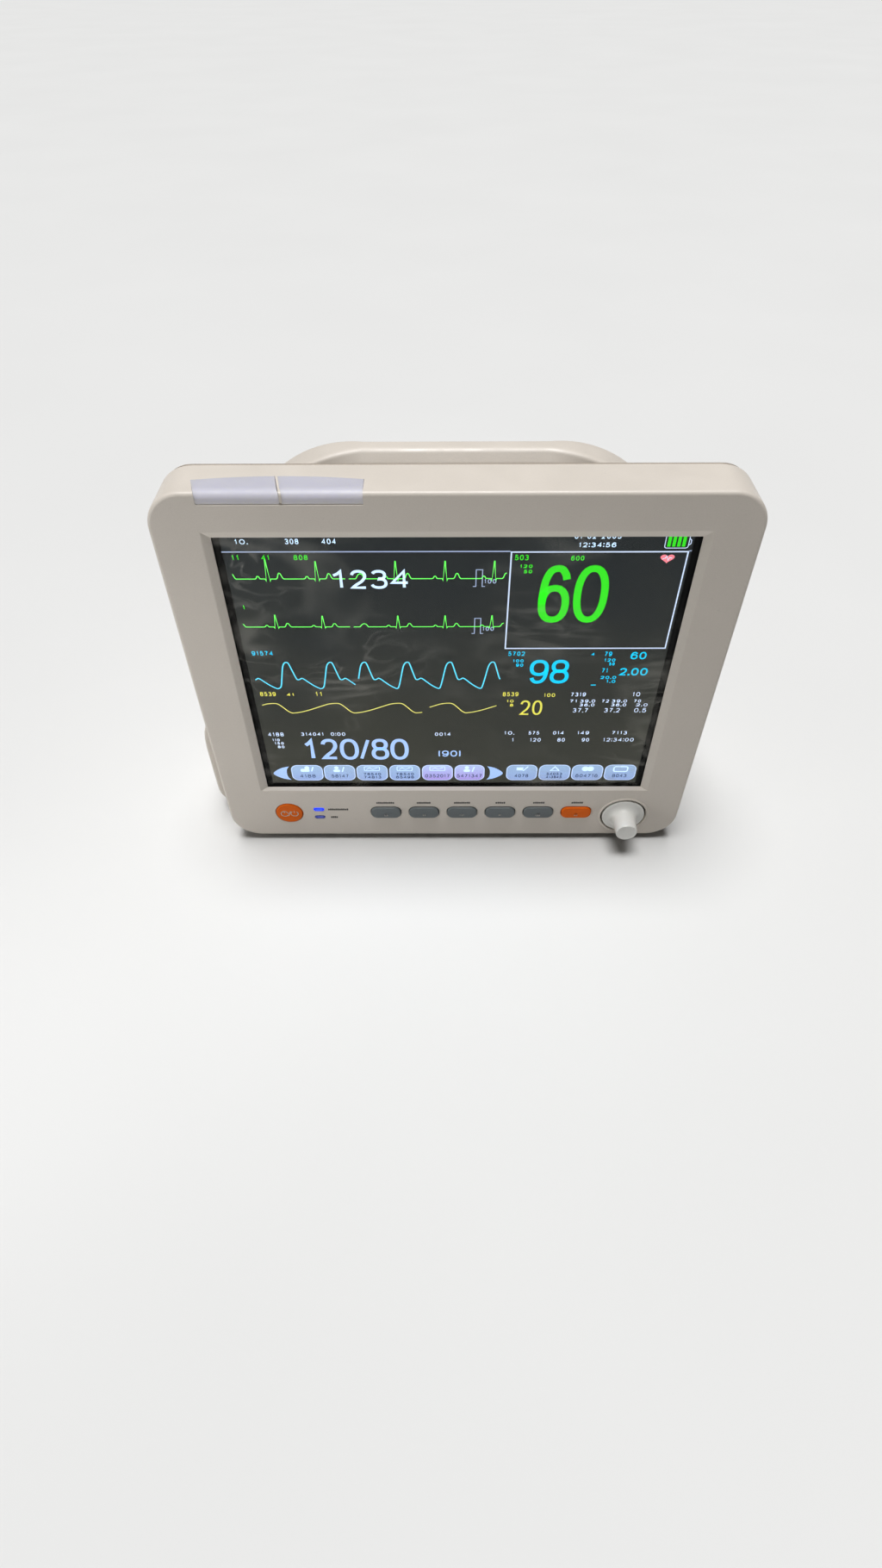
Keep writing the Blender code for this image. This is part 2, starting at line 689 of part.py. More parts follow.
def alarm_lenses():
    """Two translucent lenses that wrap over the bezel's top edge."""
    top = BEZEL_TOP + LENS_PROUD
    slope_depth, slope_height = LENS_SLOPE
    for side, left, right, right_slant in lens_spans():
        plan = lens_plan(left, right, GAP, right_slant)
        lens = prism("alarm_lens_" + side, plan, LENS_BOTTOM + GAP, top, LENS, axis="Z")
        wrap = []
        for setback, inset in rounded_edge(1.0, 7):
            wrap.append((-LENS_PROUD + slope_depth * setback, top - slope_height * inset))
        wrap.reverse()
        keep = [(40 * MM, LENS_BOTTOM - 5 * MM), (40 * MM, top)] + wrap
        keep.append((-LENS_PROUD, LENS_BOTTOM - 5 * MM))
        span = (left - 5 * MM, right + 5 * MM)
        tool = prism("tool_lens_keep_" + side, keep, *span, LENS, axis="X")
        boolean(lens, tool, "INTERSECT")
        margin = LENS_SLANT + LENS_WALL
        hollow_low = (left + margin, LENS_WALL, LENS_BOTTOM - 5 * MM)
        hollow_high = (right - margin, LENS_END_DEPTH - LENS_WALL, LENS_BOTTOM + 2 * MM)
        cut(lens, box("tool_lens_hollow_" + side, hollow_low, hollow_high, LENS))


def socket_plate():
    """Flat plate in the pod that carries the patient sockets."""
    outline = [
        (PANEL_Y[0] + GAP, PANEL_Z[0] + GAP),
        (PANEL_Y[1] - GAP, PANEL_Z[0] + GAP),
        (PANEL_Y[1] - GAP, PANEL_Z[1] - GAP),
        (PANEL_Y[0] + GAP, PANEL_Z[1] - GAP),
    ]
    span = (SOCKET_PLATE_OUTER, SOCKET_PLATE_INNER)
    plate = prism("socket_plate", outline, *span, GREY, axis="X")
    holes = [circle(radius + GAP, centre, 20) for _, centre, radius, _, _ in SOCKETS]
    reach = (SOCKET_PLATE_OUTER - 2 * MM, SOCKET_PLATE_INNER + 2 * MM)
    return cut(plate, prisms("tool_socket_holes", holes, *reach, GREY, axis="X"))


def rear_covers():
    """Blanking cover of the recorder bay, rating label and stand plate."""
    cover = [
        (COVER_Y[0] + GAP, COVER_Z[0] + GAP),
        (COVER_Y[1] - GAP, COVER_Z[0] + GAP),
        (COVER_Y[1] - GAP, COVER_Z[1] - GAP),
        (COVER_Y[0] + GAP, COVER_Z[1] - GAP),
    ]
    span = (HUMP_HALF_WIDTH - WALL, HUMP_HALF_WIDTH - 0.2 * MM)
    blank = prism("recorder_blanking_cover", cover, *span, PLASTIC, axis="X")
    grip = [(60 * MM, 66 * MM), (88 * MM, 66 * MM), (88 * MM, 70 * MM), (60 * MM, 70 * MM)]
    grip_span = (HUMP_HALF_WIDTH - 1.4 * MM, HUMP_HALF_WIDTH + 1 * MM)
    cut(blank, prism("tool_cover_grip", grip, *grip_span, PLASTIC, axis="X"))
    label = rounded_rectangle(30 * MM, 112 * MM, 152 * MM, 2 * MM, 3, -62 * MM)
    prism("rating_label", label, BACK + GAP, BACK + 0.6 * MM, LABEL)
    plate = rounded_rectangle(
        STAND_PLATE_HALF[0],
        STAND_PLATE_CENTRE_Y - STAND_PLATE_HALF[1],
        STAND_PLATE_CENTRE_Y + STAND_PLATE_HALF[1],
        4 * MM,
        3,
    )
    top = HOUSING_FLOOR - GAP
    stand = prism("stand_plate", plate, STAND_PLATE_BOTTOM, top, STEEL, axis="Z")
    holes = [
        circle(2.1 * MM, (sx * STAND_HOLES[0], STAND_PLATE_CENTRE_Y + sy * STAND_HOLES[1]), 12)
        for sx in (-1, 1)
        for sy in (-1, 1)
    ]
    cut(stand, prisms("tool_stand_holes", holes, 0, 8 * MM, STEEL, axis="Z"))


# ---- display ------------------------------------------------------------------------


def display():
    panel = rectangle(PANEL_HALF_WIDTH, PANEL_BOTTOM, PANEL_TOP)
    glass_end = WINDOW_FRONT + WINDOW_THICKNESS
    prism("screen_window", panel, WINDOW_FRONT, glass_end, CLEAR)
    prism("lcd_cell", panel, CELL_FRONT, CELL_FRONT + CELL_THICKNESS, DARK_GLASS)
    prism("lcd_backlight", panel, BACKLIGHT_FRONT, BACKLIGHT_BACK, GREY)

    outline = rectangle(152.6 * MM, 48 * MM, 249.0 * MM)
    span = (BRACKET_FRONT, BRACKET_FRONT + BRACKET_THICKNESS)
    bracket = prism("lcd_bracket", outline, *span, STEEL)
    openings = [circle(BOSS_RADIUS + 0.5 * MM, centre, 12) for centre in BOSS_POINTS]
    openings.append(rectangle(40 * MM, 80 * MM, 130 * MM, 70 * MM))
    openings.append(rectangle(40 * MM, 80 * MM, 130 * MM, -70 * MM))
    clear = (BRACKET_FRONT - 2 * MM, BRACKET_FRONT + 4 * MM)
    cut(bracket, prisms("tool_bracket_openings", openings, *clear, STEEL))
    corner = 11 * MM
    for side in (-1, 1):
        notch = rectangle(corner, 230 * MM, 260 * MM, side * 152.6 * MM)
        tool = prism(f"tool_bracket_corner_{side}", notch, *clear, STEEL)
        cut(bracket, tool)


# ---- front controls -----------------------------------------------------------------


def push_button(name, outline_of, half_sizes, centre, proud, material):
    """Cap with a rounded face, a flange behind the bezel and a stem to its switch."""
    rings = []
    for setback, inset in rounded_edge(1.0 * MM, 3):
        rings.append((-proud + setback, outline_of(-inset)))
    rings.append((FLANGE_FRONT, outline_of(0)))
    rings.append((FLANGE_FRONT, outline_of(1.2 * MM)))
    rings.append((FLANGE_FRONT + FLANGE_THICKNESS, outline_of(1.2 * MM)))
    button = loft(name, rings, material)
    stem = rectangle(half_sizes[0], centre[1] - half_sizes[1], centre[1] + half_sizes[1], centre[0])
    start = FLANGE_FRONT + FLANGE_THICKNESS / 2
    return join(button, prism("tool_stem_" + name, stem, start, STEM_END, material))


def push_buttons():
    for index, x in enumerate(key_centres()):
        last = index == KEY_COUNT - 1
        push_button(
            f"key_{index + 1}",
            lambda grow, x=x: key_outline(x, grow),
            (1.6 * MM, 1.6 * MM),
            (x, KEY_ROW_Z),
            KEY_PROUD,
            ORANGE if last else KEY_GREY,
        )
    push_button(
        "power_button",
        lambda grow: circle(POWER_RADIUS + grow, (POWER_X, POWER_Z), 28),
        (1.6 * MM, 1.6 * MM),
        (POWER_X, POWER_Z),
        POWER_PROUD,
        ORANGE,
    )


def light_pipes():
    for name, row_z in zip(("power_light_pipe", "mains_light_pipe"), LIGHT_ROWS_Z):
        prism(name, light_outline(row_z, 0), -0.2 * MM, 10.6 * MM, BLUE)


def rotary_knob():
    """Flange that fills the round hole, and a flared stem to grip."""
    radius = KNOB_FLANGE_RADIUS
    profile = [
        (0, KNOB_TIP + 0.4 * MM),
        (6.2 * MM, KNOB_TIP + 0.4 * MM),
        (6.6 * MM, KNOB_TIP),
        (7.1 * MM, KNOB_TIP + 0.3 * MM),
        (7.3 * MM, KNOB_TIP + 0.9 * MM),
        (7.9 * MM, -7.0 * MM),
        (8.5 * MM, -4.0 * MM),
        (9.6 * MM, -2.2 * MM),
        (11.2 * MM, -1.2 * MM),
        (radius - 0.8 * MM, -0.8 * MM),
        (radius, 0),
        (radius, 2.0 * MM),
        (SHAFT_RADIUS + 0.1 * MM, 2.0 * MM),
        (SHAFT_RADIUS + 0.1 * MM, SHAFT_FRONT - 0.3 * MM),
        (0, SHAFT_FRONT - 0.3 * MM),
    ]
    lathe("rotary_knob", profile, KNOB_WHITE, centre=(KNOB_X, KNOB_Z), steps=28)


def encoder():
    """Rotary encoder: fixed body with a bush, turning shaft and push plunger."""
    shaft = [
        (0, SHAFT_FRONT),
        (SHAFT_RADIUS - 0.3 * MM, SHAFT_FRONT),
        (SHAFT_RADIUS, SHAFT_FRONT + 0.4 * MM),
        (SHAFT_RADIUS, SHAFT_BACK),
        (0, SHAFT_BACK),
    ]
    lathe("encoder_shaft", shaft, STEEL, centre=(KNOB_X, KNOB_Z), steps=16)
    plunger = [
        (0, SHAFT_BACK + GAP),
        (2.2 * MM, SHAFT_BACK + GAP),
        (2.2 * MM, SHAFT_BACK + 1.1 * MM),
        (0, SHAFT_BACK + 1.1 * MM),
    ]
    lathe("encoder_plunger", plunger, KNOB_WHITE, centre=(KNOB_X, KNOB_Z), steps=12)
    half = 6.5 * MM
    outline = rectangle(half, KNOB_Z - half, KNOB_Z + half, KNOB_X)
    body_span = (ENCODER_FRONT + 2 * MM, KEY_BOARD_FRONT - GAP)
    body = prism("encoder_body", outline, *body_span, STEEL)
    bush = circle(4.2 * MM, (KNOB_X, KNOB_Z), 16)
    bush_span = (ENCODER_FRONT, ENCODER_FRONT + 4 * MM)
    join(body, prism("tool_encoder_bush", bush, *bush_span, STEEL))
    bore = circle(SHAFT_RADIUS + 0.15 * MM, (KNOB_X, KNOB_Z), 16)
    cut(body, prism("tool_encoder_bore", bore, 0, KEY_BOARD_FRONT + 1 * MM, STEEL))


def key_board():
    """Circuit board behind the buttons, with a switch behind each."""
    outline = rectangle(130 * MM, 12 * MM, 42 * MM, 2 * MM)
    span = (KEY_BOARD_FRONT, KEY_BOARD_FRONT + BOARD_THICKNESS)
    board = prism("key_board", outline, *span, BOARD)
    switches = [(x, KEY_ROW_Z) for x in key_centres()] + [(POWER_X, POWER_Z)]
    pads = [rectangle(3.1 * MM, z - 3.1 * MM, z + 3.1 * MM, x) for x, z in switches]
    join(board, prisms("tool_switches", pads, SWITCH_TOP, KEY_BOARD_FRONT + 0.8 * MM, BOARD))
    lamps = [rectangle(2 * MM, z - 1 * MM, z + 1 * MM, LIGHT_X) for z in LIGHT_ROWS_Z]
    lamp_span = (10.9 * MM, KEY_BOARD_FRONT + 0.8 * MM)
    join(board, prisms("tool_lamps", lamps, *lamp_span, BOARD))


# ---- inside -------------------------------------------------------------------------


def board_with_parts(name, low, high, parts, material):
    """A circuit board with blocks on it, each given as (low corner, high corner)."""
    board = box(name, low, high, material)
    for index, (part_low, part_high) in enumerate(parts):
        join(board, box(f"tool_{name}_{index}", part_low, part_high, material))
    return board


def mm_corners(*blocks):
    return [
        (tuple(v * MM for v in low), tuple(v * MM for v in high)) for low, high in blocks
    ]


def electronics():
    (low, high), *parts = mm_corners(
        ((-105, 24.0, 62), (85, 25.6, 200)),
        ((-60, 25.0, 120), (-25, 28.6, 155)),
        ((5, 25.0, 130), (45, 29.5, 160)),
        ((-95, 25.0, 175), (-40, 33.0, 190)),
        ((55, 25.0, 75), (78, 35.0, 110)),
        ((-90, 18.0, 185), (-84, 24.8, 191)),
        ((70, 18.0, 185), (76, 24.8, 191)),
    )
    board_with_parts("main_board", low, high, parts, BOARD)
    (low, high), *parts = mm_corners(
        ((-8, 106.0, 84), (42, 107.6, 164)),
        ((-4, 84.0, 90), (10, 106.8, 104)),
        ((14, 90.0, 88), (36, 106.8, 100)),
        ((-4, 80.0, 145), (38, 106.8, 150)),
    )
    board_with_parts("power_supply_board", low, high, parts, BOARD)
    (low, high), *_ = mm_corners(((4, 82, 108), (34, 105.7, 138)))
    bevel(box("mains_transformer", low, high, DARK_METAL), 1.5 * MM, 1)
    (low, high), *parts = mm_corners(
        ((-147.0, 40, 12), (-145.4, 98, 86)),
        ((-146.0, 46, 74), (-141, 66, 84)),
        ((-146.0, 84, 16), (-142, 96, 30)),
    )
    board = board_with_parts("parameter_board", low, high, parts, BOARD)
    hose_hole = circle(4.6 * MM, NIBP_CENTRE, 12)
    hose_cut = (-150 * MM, -140 * MM)
    cut(board, prism("tool_hose_hole", hose_hole, *hose_cut, BOARD, axis="X"))
    (low, high), *parts = mm_corners(
        ((-126.5, 5.0, 250.4), (-47.5, 13.0, 252.0)),
        ((-110, 7.0, 251.5), (-106, 10.0, 254.5)),
        ((-68, 7.0, 251.5), (-64, 10.0, 254.5)),
    )
    board_with_parts("alarm_light_board", low, high, parts, BOARD)
    battery = box("battery_pack", BATTERY_LOW, BATTERY_HIGH, BATTERY)
    bevel(battery, 2.0 * MM, 2)


def speaker():
    depth = BACK - WALL - 1.0 * MM
    profile = [
        (0, depth - 16 * MM),
        (11 * MM, depth - 16 * MM),
        (11 * MM, depth - 9 * MM),
        (SPEAKER_RADIUS - 4 * MM, depth - 3 * MM),
        (SPEAKER_RADIUS, depth - 2.4 * MM),
        (SPEAKER_RADIUS, depth),
        (SPEAKER_RADIUS - 2.5 * MM, depth),
        (SPEAKER_RADIUS - 5 * MM, depth - 1.6 * MM),
        (8 * MM, depth - 6 * MM),
        (0, depth - 4 * MM),
    ]
    lathe("speaker", profile, DARK_METAL, centre=(SPEAKER_X, SPEAKER_Z), steps=24)


def pneumatics():
    """Cuff pump, valve block and the hose to the cuff socket."""
    pump_centre = (-104 * MM, 74 * MM)
    profile = [
        (0, 112 * MM),
        (12 * MM, 112 * MM),
        (13.5 * MM, 114 * MM),
        (13.5 * MM, 142 * MM),
        (12.2 * MM, 143 * MM),
        (12.2 * MM, 170 * MM),
        (0, 170 * MM),
    ]
    lathe("cuff_pump", profile, STEEL, axis="Z", centre=pump_centre, steps=20)
    (low, high), *parts = mm_corners(
        ((-86, 62, 112), (-52, 86, 140)),
        ((-80, 66, 139), (-70, 76, 156)),
        ((-67, 66, 139), (-57, 76, 156)),
        ((-79, 70, 105), (-73, 76, 113)),
    )
    board_with_parts("valve_block", low, high, parts, KEY_GREY)
    route = mm_points(
        (-76, 73, 104.6),
        (-76, 73, 99),
        (-77, 72.5, 90),
        (-84, 71, 79),
        (-97, 70, 70),
        (-113, 72.5, 66.6),
        (-128, 75, 66.1),
        (-141.2, 75, 66),
    )
    hose("cuff_hose", route, 2.6 * MM)


def mm_points(*points):
    return [Vector(point) * MM for point in points]


def hose(name, route, radius):
    """A soft tube on a smooth curve through the route's points."""
    points = []
    count = len(route)
    for index in range(count - 1):
        before = route[max(index - 1, 0)]
        start, end = route[index], route[index + 1]
        after = route[min(index + 2, count - 1)]
        for step in range(3):
            t = step / 3
            points.append(
                0.5
                * (
                    2 * start
                    + (end - before) * t
                    + (2 * before - 5 * start + 4 * end - after) * t**2
                    + (3 * start - before - 3 * end + after) * t**3
                )
            )
    points.append(route[-1])
    data = bpy.data.curves.new(name, "CURVE")
    data.dimensions = "3D"
    data.bevel_depth = radius
    data.bevel_resolution = 2
    data.use_fill_caps = True
    spline = data.splines.new("POLY")
    spline.points.add(len(points) - 1)
    for target, point in zip(spline.points, points):
        target.co = (*point, 1.0)
    data.materials.append(RUBBER)
    obj = bpy.data.objects.new(name, data)
    bpy.context.scene.collection.objects.link(obj)
    obj.parent = CENTRE
    return obj


# ---- sockets ------------------------------------------------------------------------

NIBP_CENTRE = (75 * MM, 66 * MM)
# name, centre (y, z), body radius, flange radius, cavity radius
SOCKETS = (
    ("ecg_socket", (52 * MM, 64 * MM), 8.4 * MM, 10.2 * MM, 6.9 * MM),
    ("spo2_socket", (50 * MM, 41 * MM), 7.0 * MM, 8.6 * MM, 5.6 * MM),
    ("temperature_socket_1", (69 * MM, 41 * MM), 5.2 * MM, 6.6 * MM, 3.7 * MM),
    ("temperature_socket_2", (84 * MM, 41 * MM), 5.2 * MM, 6.6 * MM, 3.7 * MM),
    ("cuff_socket", NIBP_CENTRE, 6.6 * MM, 8.6 * MM, 4.2 * MM),
)
SOCKET_FLANGE = 1.3 * MM
SOCKET_CAVITY_DEPTH = 11 * MM
SOCKET_BODY_END = -149.0 * MM


def patient_sockets():
    """Round sockets: a flange on the plate, a body behind it and a hollow for the plug."""
    face = SOCKET_PLATE_OUTER - GAP
    front = face - SOCKET_FLANGE
    for name, centre, body, flange, cavity in SOCKETS:
        profile = [
            (0, front + SOCKET_CAVITY_DEPTH),
            (cavity, front + SOCKET_CAVITY_DEPTH),
            (cavity, front + 0.5 * MM),
            (cavity + 0.5 * MM, front),
            (flange - 0.5 * MM, front),
            (flange, front + 0.5 * MM),
            (flange, face),
            (body, face),
            (body, SOCKET_BODY_END),
        ]
        if name == "cuff_socket":
            nozzle = -141.6 * MM
            profile += [(2.6 * MM, SOCKET_BODY_END), (2.6 * MM, nozzle), (0, nozzle)]
        else:
            profile.append((0, SOCKET_BODY_END))
        lathe(name, profile, SOCKET_WHITE, axis="X", centre=centre, steps=20)


def mains_inlet():
    """Mains inlet with three pins, and the fuse drawer under its socket."""
    flange = rounded_rectangle(
        INLET_FLANGE[0] / 2,
        INLET_Z - INLET_FLANGE[1] / 2,
        INLET_Z + INLET_FLANGE[1] / 2,
        2.5 * MM,
        3,
        INLET_X,
    )
    flange_span = (BACK + GAP, REARMOST)
    inlet = prism("mains_inlet", flange, *flange_span, BLACK)
    body = rectangle(
        INLET_BODY[0] / 2,
        INLET_Z - INLET_BODY[1] / 2,
        INLET_Z + INLET_BODY[1] / 2,
        INLET_X,
    )
    join(inlet, prism("tool_inlet_body", body, 104 * MM, BACK + 1 * MM, BLACK))
    socket_z = INLET_Z + SOCKET_OFFSET_Z
    half_w, half_h, chamfer = 11.2 * MM, 7.4 * MM, 4.2 * MM
    socket = [
        (INLET_X - half_w, socket_z - half_h),
        (INLET_X + half_w, socket_z - half_h),
        (INLET_X + half_w, socket_z + half_h - chamfer),
        (INLET_X + half_w - chamfer, socket_z + half_h),
        (INLET_X - half_w + chamfer, socket_z + half_h),
        (INLET_X - half_w, socket_z + half_h - chamfer),
    ]
    floor = REARMOST - 16.5 * MM
    cut(inlet, prism("tool_inlet_socket", socket, floor, REARMOST + 1 * MM, BLACK))
    pins = [
        rectangle(1.0 * MM, socket_z - 3.6 * MM, socket_z + 0.4 * MM, INLET_X + side * 7 * MM)
        for side in (-1, 1)
    ]
    pins.append(rectangle(1.0 * MM, socket_z + 0.2 * MM, socket_z + 4.2 * MM, INLET_X))
    pin_span = (floor - 1 * MM, REARMOST - 5.6 * MM)
    join(inlet, prisms("tool_inlet_pins", pins, *pin_span, STEEL))
    drawer_z = INLET_Z + DRAWER_OFFSET_Z
    half_w, half_h = DRAWER_SIZE[0] / 2, DRAWER_SIZE[1] / 2
    slot = rectangle(half_w + GAP, drawer_z - half_h - GAP, drawer_z + half_h + GAP, INLET_X)
    slot_span = (106 * MM, REARMOST + 1 * MM)
    cut(inlet, prism("tool_drawer_slot", slot, *slot_span, BLACK))
    drawer = rectangle(half_w, drawer_z - half_h, drawer_z + half_h, INLET_X)
    drawer_span = (107 * MM, REARMOST - 0.2 * MM)
    tray = prism("fuse_drawer", drawer, *drawer_span, BLACK)
    wells = rectangle(half_w - 1.6 * MM, drawer_z - 1.9 * MM, drawer_z + 6 * MM, INLET_X)
    cut(tray, prism("tool_fuse_well", wells, 109 * MM, BACK - 2 * MM, BLACK))
    fuse = [
        (0, 110 * MM),
        (1.7 * MM, 110 * MM),
        (1.7 * MM, BACK - 3 * MM),
        (0, BACK - 3 * MM),
    ]
    lathe("fuse", fuse, CLEAR, centre=(INLET_X, drawer_z + 0.3 * MM), steps=12)


def rear_sockets():
    half_w, half_h = 7.9 * MM, 6.7 * MM
    shell = rectangle(half_w, LAN_Z - half_h, LAN_Z + half_h, LAN_X)
    jack = prism("network_socket", shell, 108.6 * MM, BACK - 0.2 * MM, STEEL)
    hollow = rectangle(half_w - 1.6 * MM, LAN_Z - 4.2 * MM, LAN_Z + 4.2 * MM, LAN_X)
    hollow_span = (BACK - 14 * MM, BACK + 2 * MM)
    cut(jack, prism("tool_lan_hollow", hollow, *hollow_span, STEEL))
    post = [
        (0, BACK - 8 * MM),
        (2.9 * MM, BACK - 8 * MM),
        (2.9 * MM, BACK + GAP),
        (5.0 * MM, BACK + GAP),
        (5.0 * MM, BACK + 0.8 * MM),
        (2.4 * MM, BACK + 0.8 * MM),
        (2.4 * MM, BACK + 2.2 * MM),
        (0, BACK + 2.2 * MM),
    ]
    lathe("earth_post", post, BRASS, centre=(POST_X, POST_Z), steps=16)


# ---- battery door, feet and fasteners ------------------------------------------------


def battery_door():
    """Door whose lower edge is a round barrel on the hinge pin."""
    radius = DOOR_THICKNESS / 2
    centre_y, centre_z = DOOR_AXIS_Y, DOOR_AXIS_Z
    outline = [(BACK, DOOR_TOP), (BACK - DOOR_THICKNESS, DOOR_TOP)]
    for step in range(9):
        angle = math.radians(180 + 180 * step / 8)
        outline.append(
            (centre_y + radius * math.cos(angle), centre_z + radius * math.sin(angle))
        )
    door = prism("battery_door", outline, *DOOR_X, PLASTIC, axis="X")
    bore = circle(DOOR_PIN_RADIUS + 0.1 * MM, (centre_y, centre_z), 10)
    bore_span = (DOOR_X[0] - 2 * MM, DOOR_X[1] + 2 * MM)
    cut(door, prism("tool_door_bore", bore, *bore_span, PLASTIC, axis="X"))
    centre = (STUD_X, STUD_Z)
    recess = [
        (0, BACK - 5 * MM),
        (STUD_RADIUS + 0.3 * MM, BACK - 5 * MM),
        (STUD_RADIUS + 0.3 * MM, BACK - 1.6 * MM),
        (STUD_HEAD_RADIUS + 0.25 * MM, BACK - 1.6 * MM),
        (STUD_HEAD_RADIUS + 0.25 * MM, BACK + 1 * MM),
        (0, BACK + 1 * MM),
    ]
    cut(door, lathe("tool_stud_recess", recess, PLASTIC, centre=centre, steps=20))
    pin = circle(DOOR_PIN_RADIUS, (centre_y, centre_z), 10)
    pin_span = (DOOR_X[0] - 3.4 * MM, DOOR_X[1] + 3.4 * MM)
    prism("door_hinge_pin", pin, *pin_span, STEEL, axis="X")
    stud = [
        (0, STUD_END),
        (STUD_RADIUS - 0.5 * MM, STUD_END),
        (STUD_RADIUS, STUD_END + 0.5 * MM),
        (STUD_RADIUS, BACK - 1.3 * MM),
        (STUD_HEAD_RADIUS, BACK - 1.3 * MM),
        (STUD_HEAD_RADIUS, BACK - 0.3 * MM),
        (STUD_HEAD_RADIUS - 0.3 * MM, BACK),
        (0, BACK),
    ]
    body = lathe("battery_door_stud", stud, STEEL, centre=centre, steps=20)
    slot = rectangle(3.0 * MM, STUD_Z - 0.5 * MM, STUD_Z + 0.5 * MM, STUD_X)
    slot_span = (BACK - 0.8 * MM, BACK + 1 * MM)
    cut(body, prism("tool_coin_slot", slot, *slot_span, STEEL))


def feet():
    for index, (x, y, underside) in enumerate(FOOT_POINTS):
        top = underside - GAP
        profile = [
            (0, 0),
            (FOOT_RADIUS - 0.8 * MM, 0),
            (FOOT_RADIUS, 0.8 * MM),
            (FOOT_RADIUS, top),
            (0, top),
        ]
        lathe(f"foot_{index + 1}", profile, RUBBER, axis="Z", centre=(x, y), steps=20)


def screw(name, centre, seat, tip, axis):
    """Pan-head screw whose head lies on seat and whose point is at tip."""
    away = math.copysign(1.0, seat - tip)
    profile = [
        (0, tip),
        (1.15 * MM, tip),
        (1.15 * MM, seat),
        (3.1 * MM, seat),
        (3.1 * MM, seat + away * 1.2 * MM),
        (2.2 * MM, seat + away * 2.1 * MM),
        (0, seat + away * 2.1 * MM),
    ]
    body = lathe(name, profile, STEEL, axis=axis, centre=centre, steps=12)
    top = seat + away * 3 * MM
    floor = seat + away * 1.0 * MM
    long, short = 1.7 * MM, 0.35 * MM
    cross = [
        (centre[0] + dx, centre[1] + dy)
        for dx, dy in (
            (-long, -short), (-short, -short), (-short, -long), (short, -long),
            (short, -short), (long, -short), (long, short), (short, short),
            (short, long), (-short, long), (-short, short), (-long, short),
        )
    ]
    ends = sorted((floor, top))
    return cut(body, prism("tool_cross_" + name, cross, *ends, STEEL, axis=axis))


def fasteners():
    for index, centre in enumerate(BOSS_POINTS):
        seat = RIM_DEPTH + GAP
        screw(f"housing_screw_{index + 1}", centre, seat, 20 * MM, "Y")
    for side, name in ((-1, "left"), (1, "right")):
        centre = (side * HANDLE_SCREW_X, HANDLE_SCREW_Y)
        seat = HUMP_TOP - WALL - GAP
        screw("handle_screw_" + name, centre, seat, HUMP_TOP + 10 * MM, "Z")


# ---- build --------------------------------------------------------------------------

clear_scene()
CENTRE = bpy.data.objects.new("monitor_centre", None)
CENTRE.location = (CENTRE_X, CENTRE_Y, 0)
bpy.context.scene.collection.objects.link(CENTRE)

PLASTIC = make_material("casing_plastic", (0.66, 0.61, 0.55), 0.45)
GREY = make_material("panel_grey", (0.48, 0.47, 0.45), 0.5)
KEY_GREY = make_material("key_grey", (0.10, 0.11, 0.12), 0.5)
ORANGE = make_material("button_orange", (0.72, 0.17, 0.02), 0.4)
KNOB_WHITE = make_material("knob_white", (0.78, 0.75, 0.68), 0.35)
LENS = make_material("alarm_lens", (0.78, 0.76, 0.86), 0.3, alpha=0.8)
BLUE = make_material("indicator_blue", (0.05, 0.12, 0.9), 0.3)
CLEAR = make_material("clear_window", (0.9, 0.92, 0.92), 0.08, alpha=0.15)
DARK_GLASS = make_material("display_black", (0.02, 0.025, 0.025), 0.15)
STEEL = make_material("plated_steel", (0.62, 0.62, 0.60), 0.35, 1.0)
DARK_METAL = make_material("dark_metal", (0.12, 0.12, 0.13), 0.5, 0.6)
BRASS = make_material("plated_brass", (0.75, 0.62, 0.35), 0.3, 1.0)
BOARD = make_material("circuit_board", (0.04, 0.22, 0.10), 0.45)
BATTERY = make_material("battery_wrap", (0.12, 0.16, 0.3), 0.5)
BLACK = make_material("black_plastic", (0.03, 0.03, 0.03), 0.45)
SOCKET_WHITE = make_material("socket_plastic", (0.72, 0.72, 0.72), 0.4)
RUBBER = make_material("soft_rubber", (0.08, 0.08, 0.08), 0.8)
LABEL = make_material("label_film", (0.85, 0.85, 0.83), 0.5)

front_bezel()
rear_housing()
carry_handle()
alarm_lenses()
socket_plate()
rear_covers()
display()
push_buttons()
light_pipes()
rotary_knob()
encoder()
key_board()
electronics()
speaker()
pneumatics()
patient_sockets()
mains_inlet()
rear_sockets()
battery_door()
feet()
fasteners()
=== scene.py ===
import math

import bmesh
import bpy
from mathutils import Matrix, Vector


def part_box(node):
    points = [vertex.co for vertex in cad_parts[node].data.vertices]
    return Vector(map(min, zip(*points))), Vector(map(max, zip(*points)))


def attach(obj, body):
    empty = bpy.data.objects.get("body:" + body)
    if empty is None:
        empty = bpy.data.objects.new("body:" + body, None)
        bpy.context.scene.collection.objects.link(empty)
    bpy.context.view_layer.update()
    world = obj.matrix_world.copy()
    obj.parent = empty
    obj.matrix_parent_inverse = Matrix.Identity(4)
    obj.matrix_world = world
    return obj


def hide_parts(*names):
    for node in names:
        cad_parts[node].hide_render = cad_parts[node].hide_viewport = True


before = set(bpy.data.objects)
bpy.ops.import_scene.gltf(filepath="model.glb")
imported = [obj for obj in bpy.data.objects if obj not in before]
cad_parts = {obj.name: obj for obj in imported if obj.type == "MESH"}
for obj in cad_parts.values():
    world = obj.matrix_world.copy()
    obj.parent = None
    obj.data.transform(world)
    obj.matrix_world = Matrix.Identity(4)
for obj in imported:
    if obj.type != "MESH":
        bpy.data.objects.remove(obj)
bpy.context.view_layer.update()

# Shapes are written in millimetres from the screen's centreline (x), the bezel's front
# face (y, going in) and the surface under the feet (z), then PLACE puts them in the frame.
bezel_low, bezel_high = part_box("front_bezel")
CENTRE_X = (bezel_low.x + bezel_high.x) / 2
FACE_Y = bezel_low.y
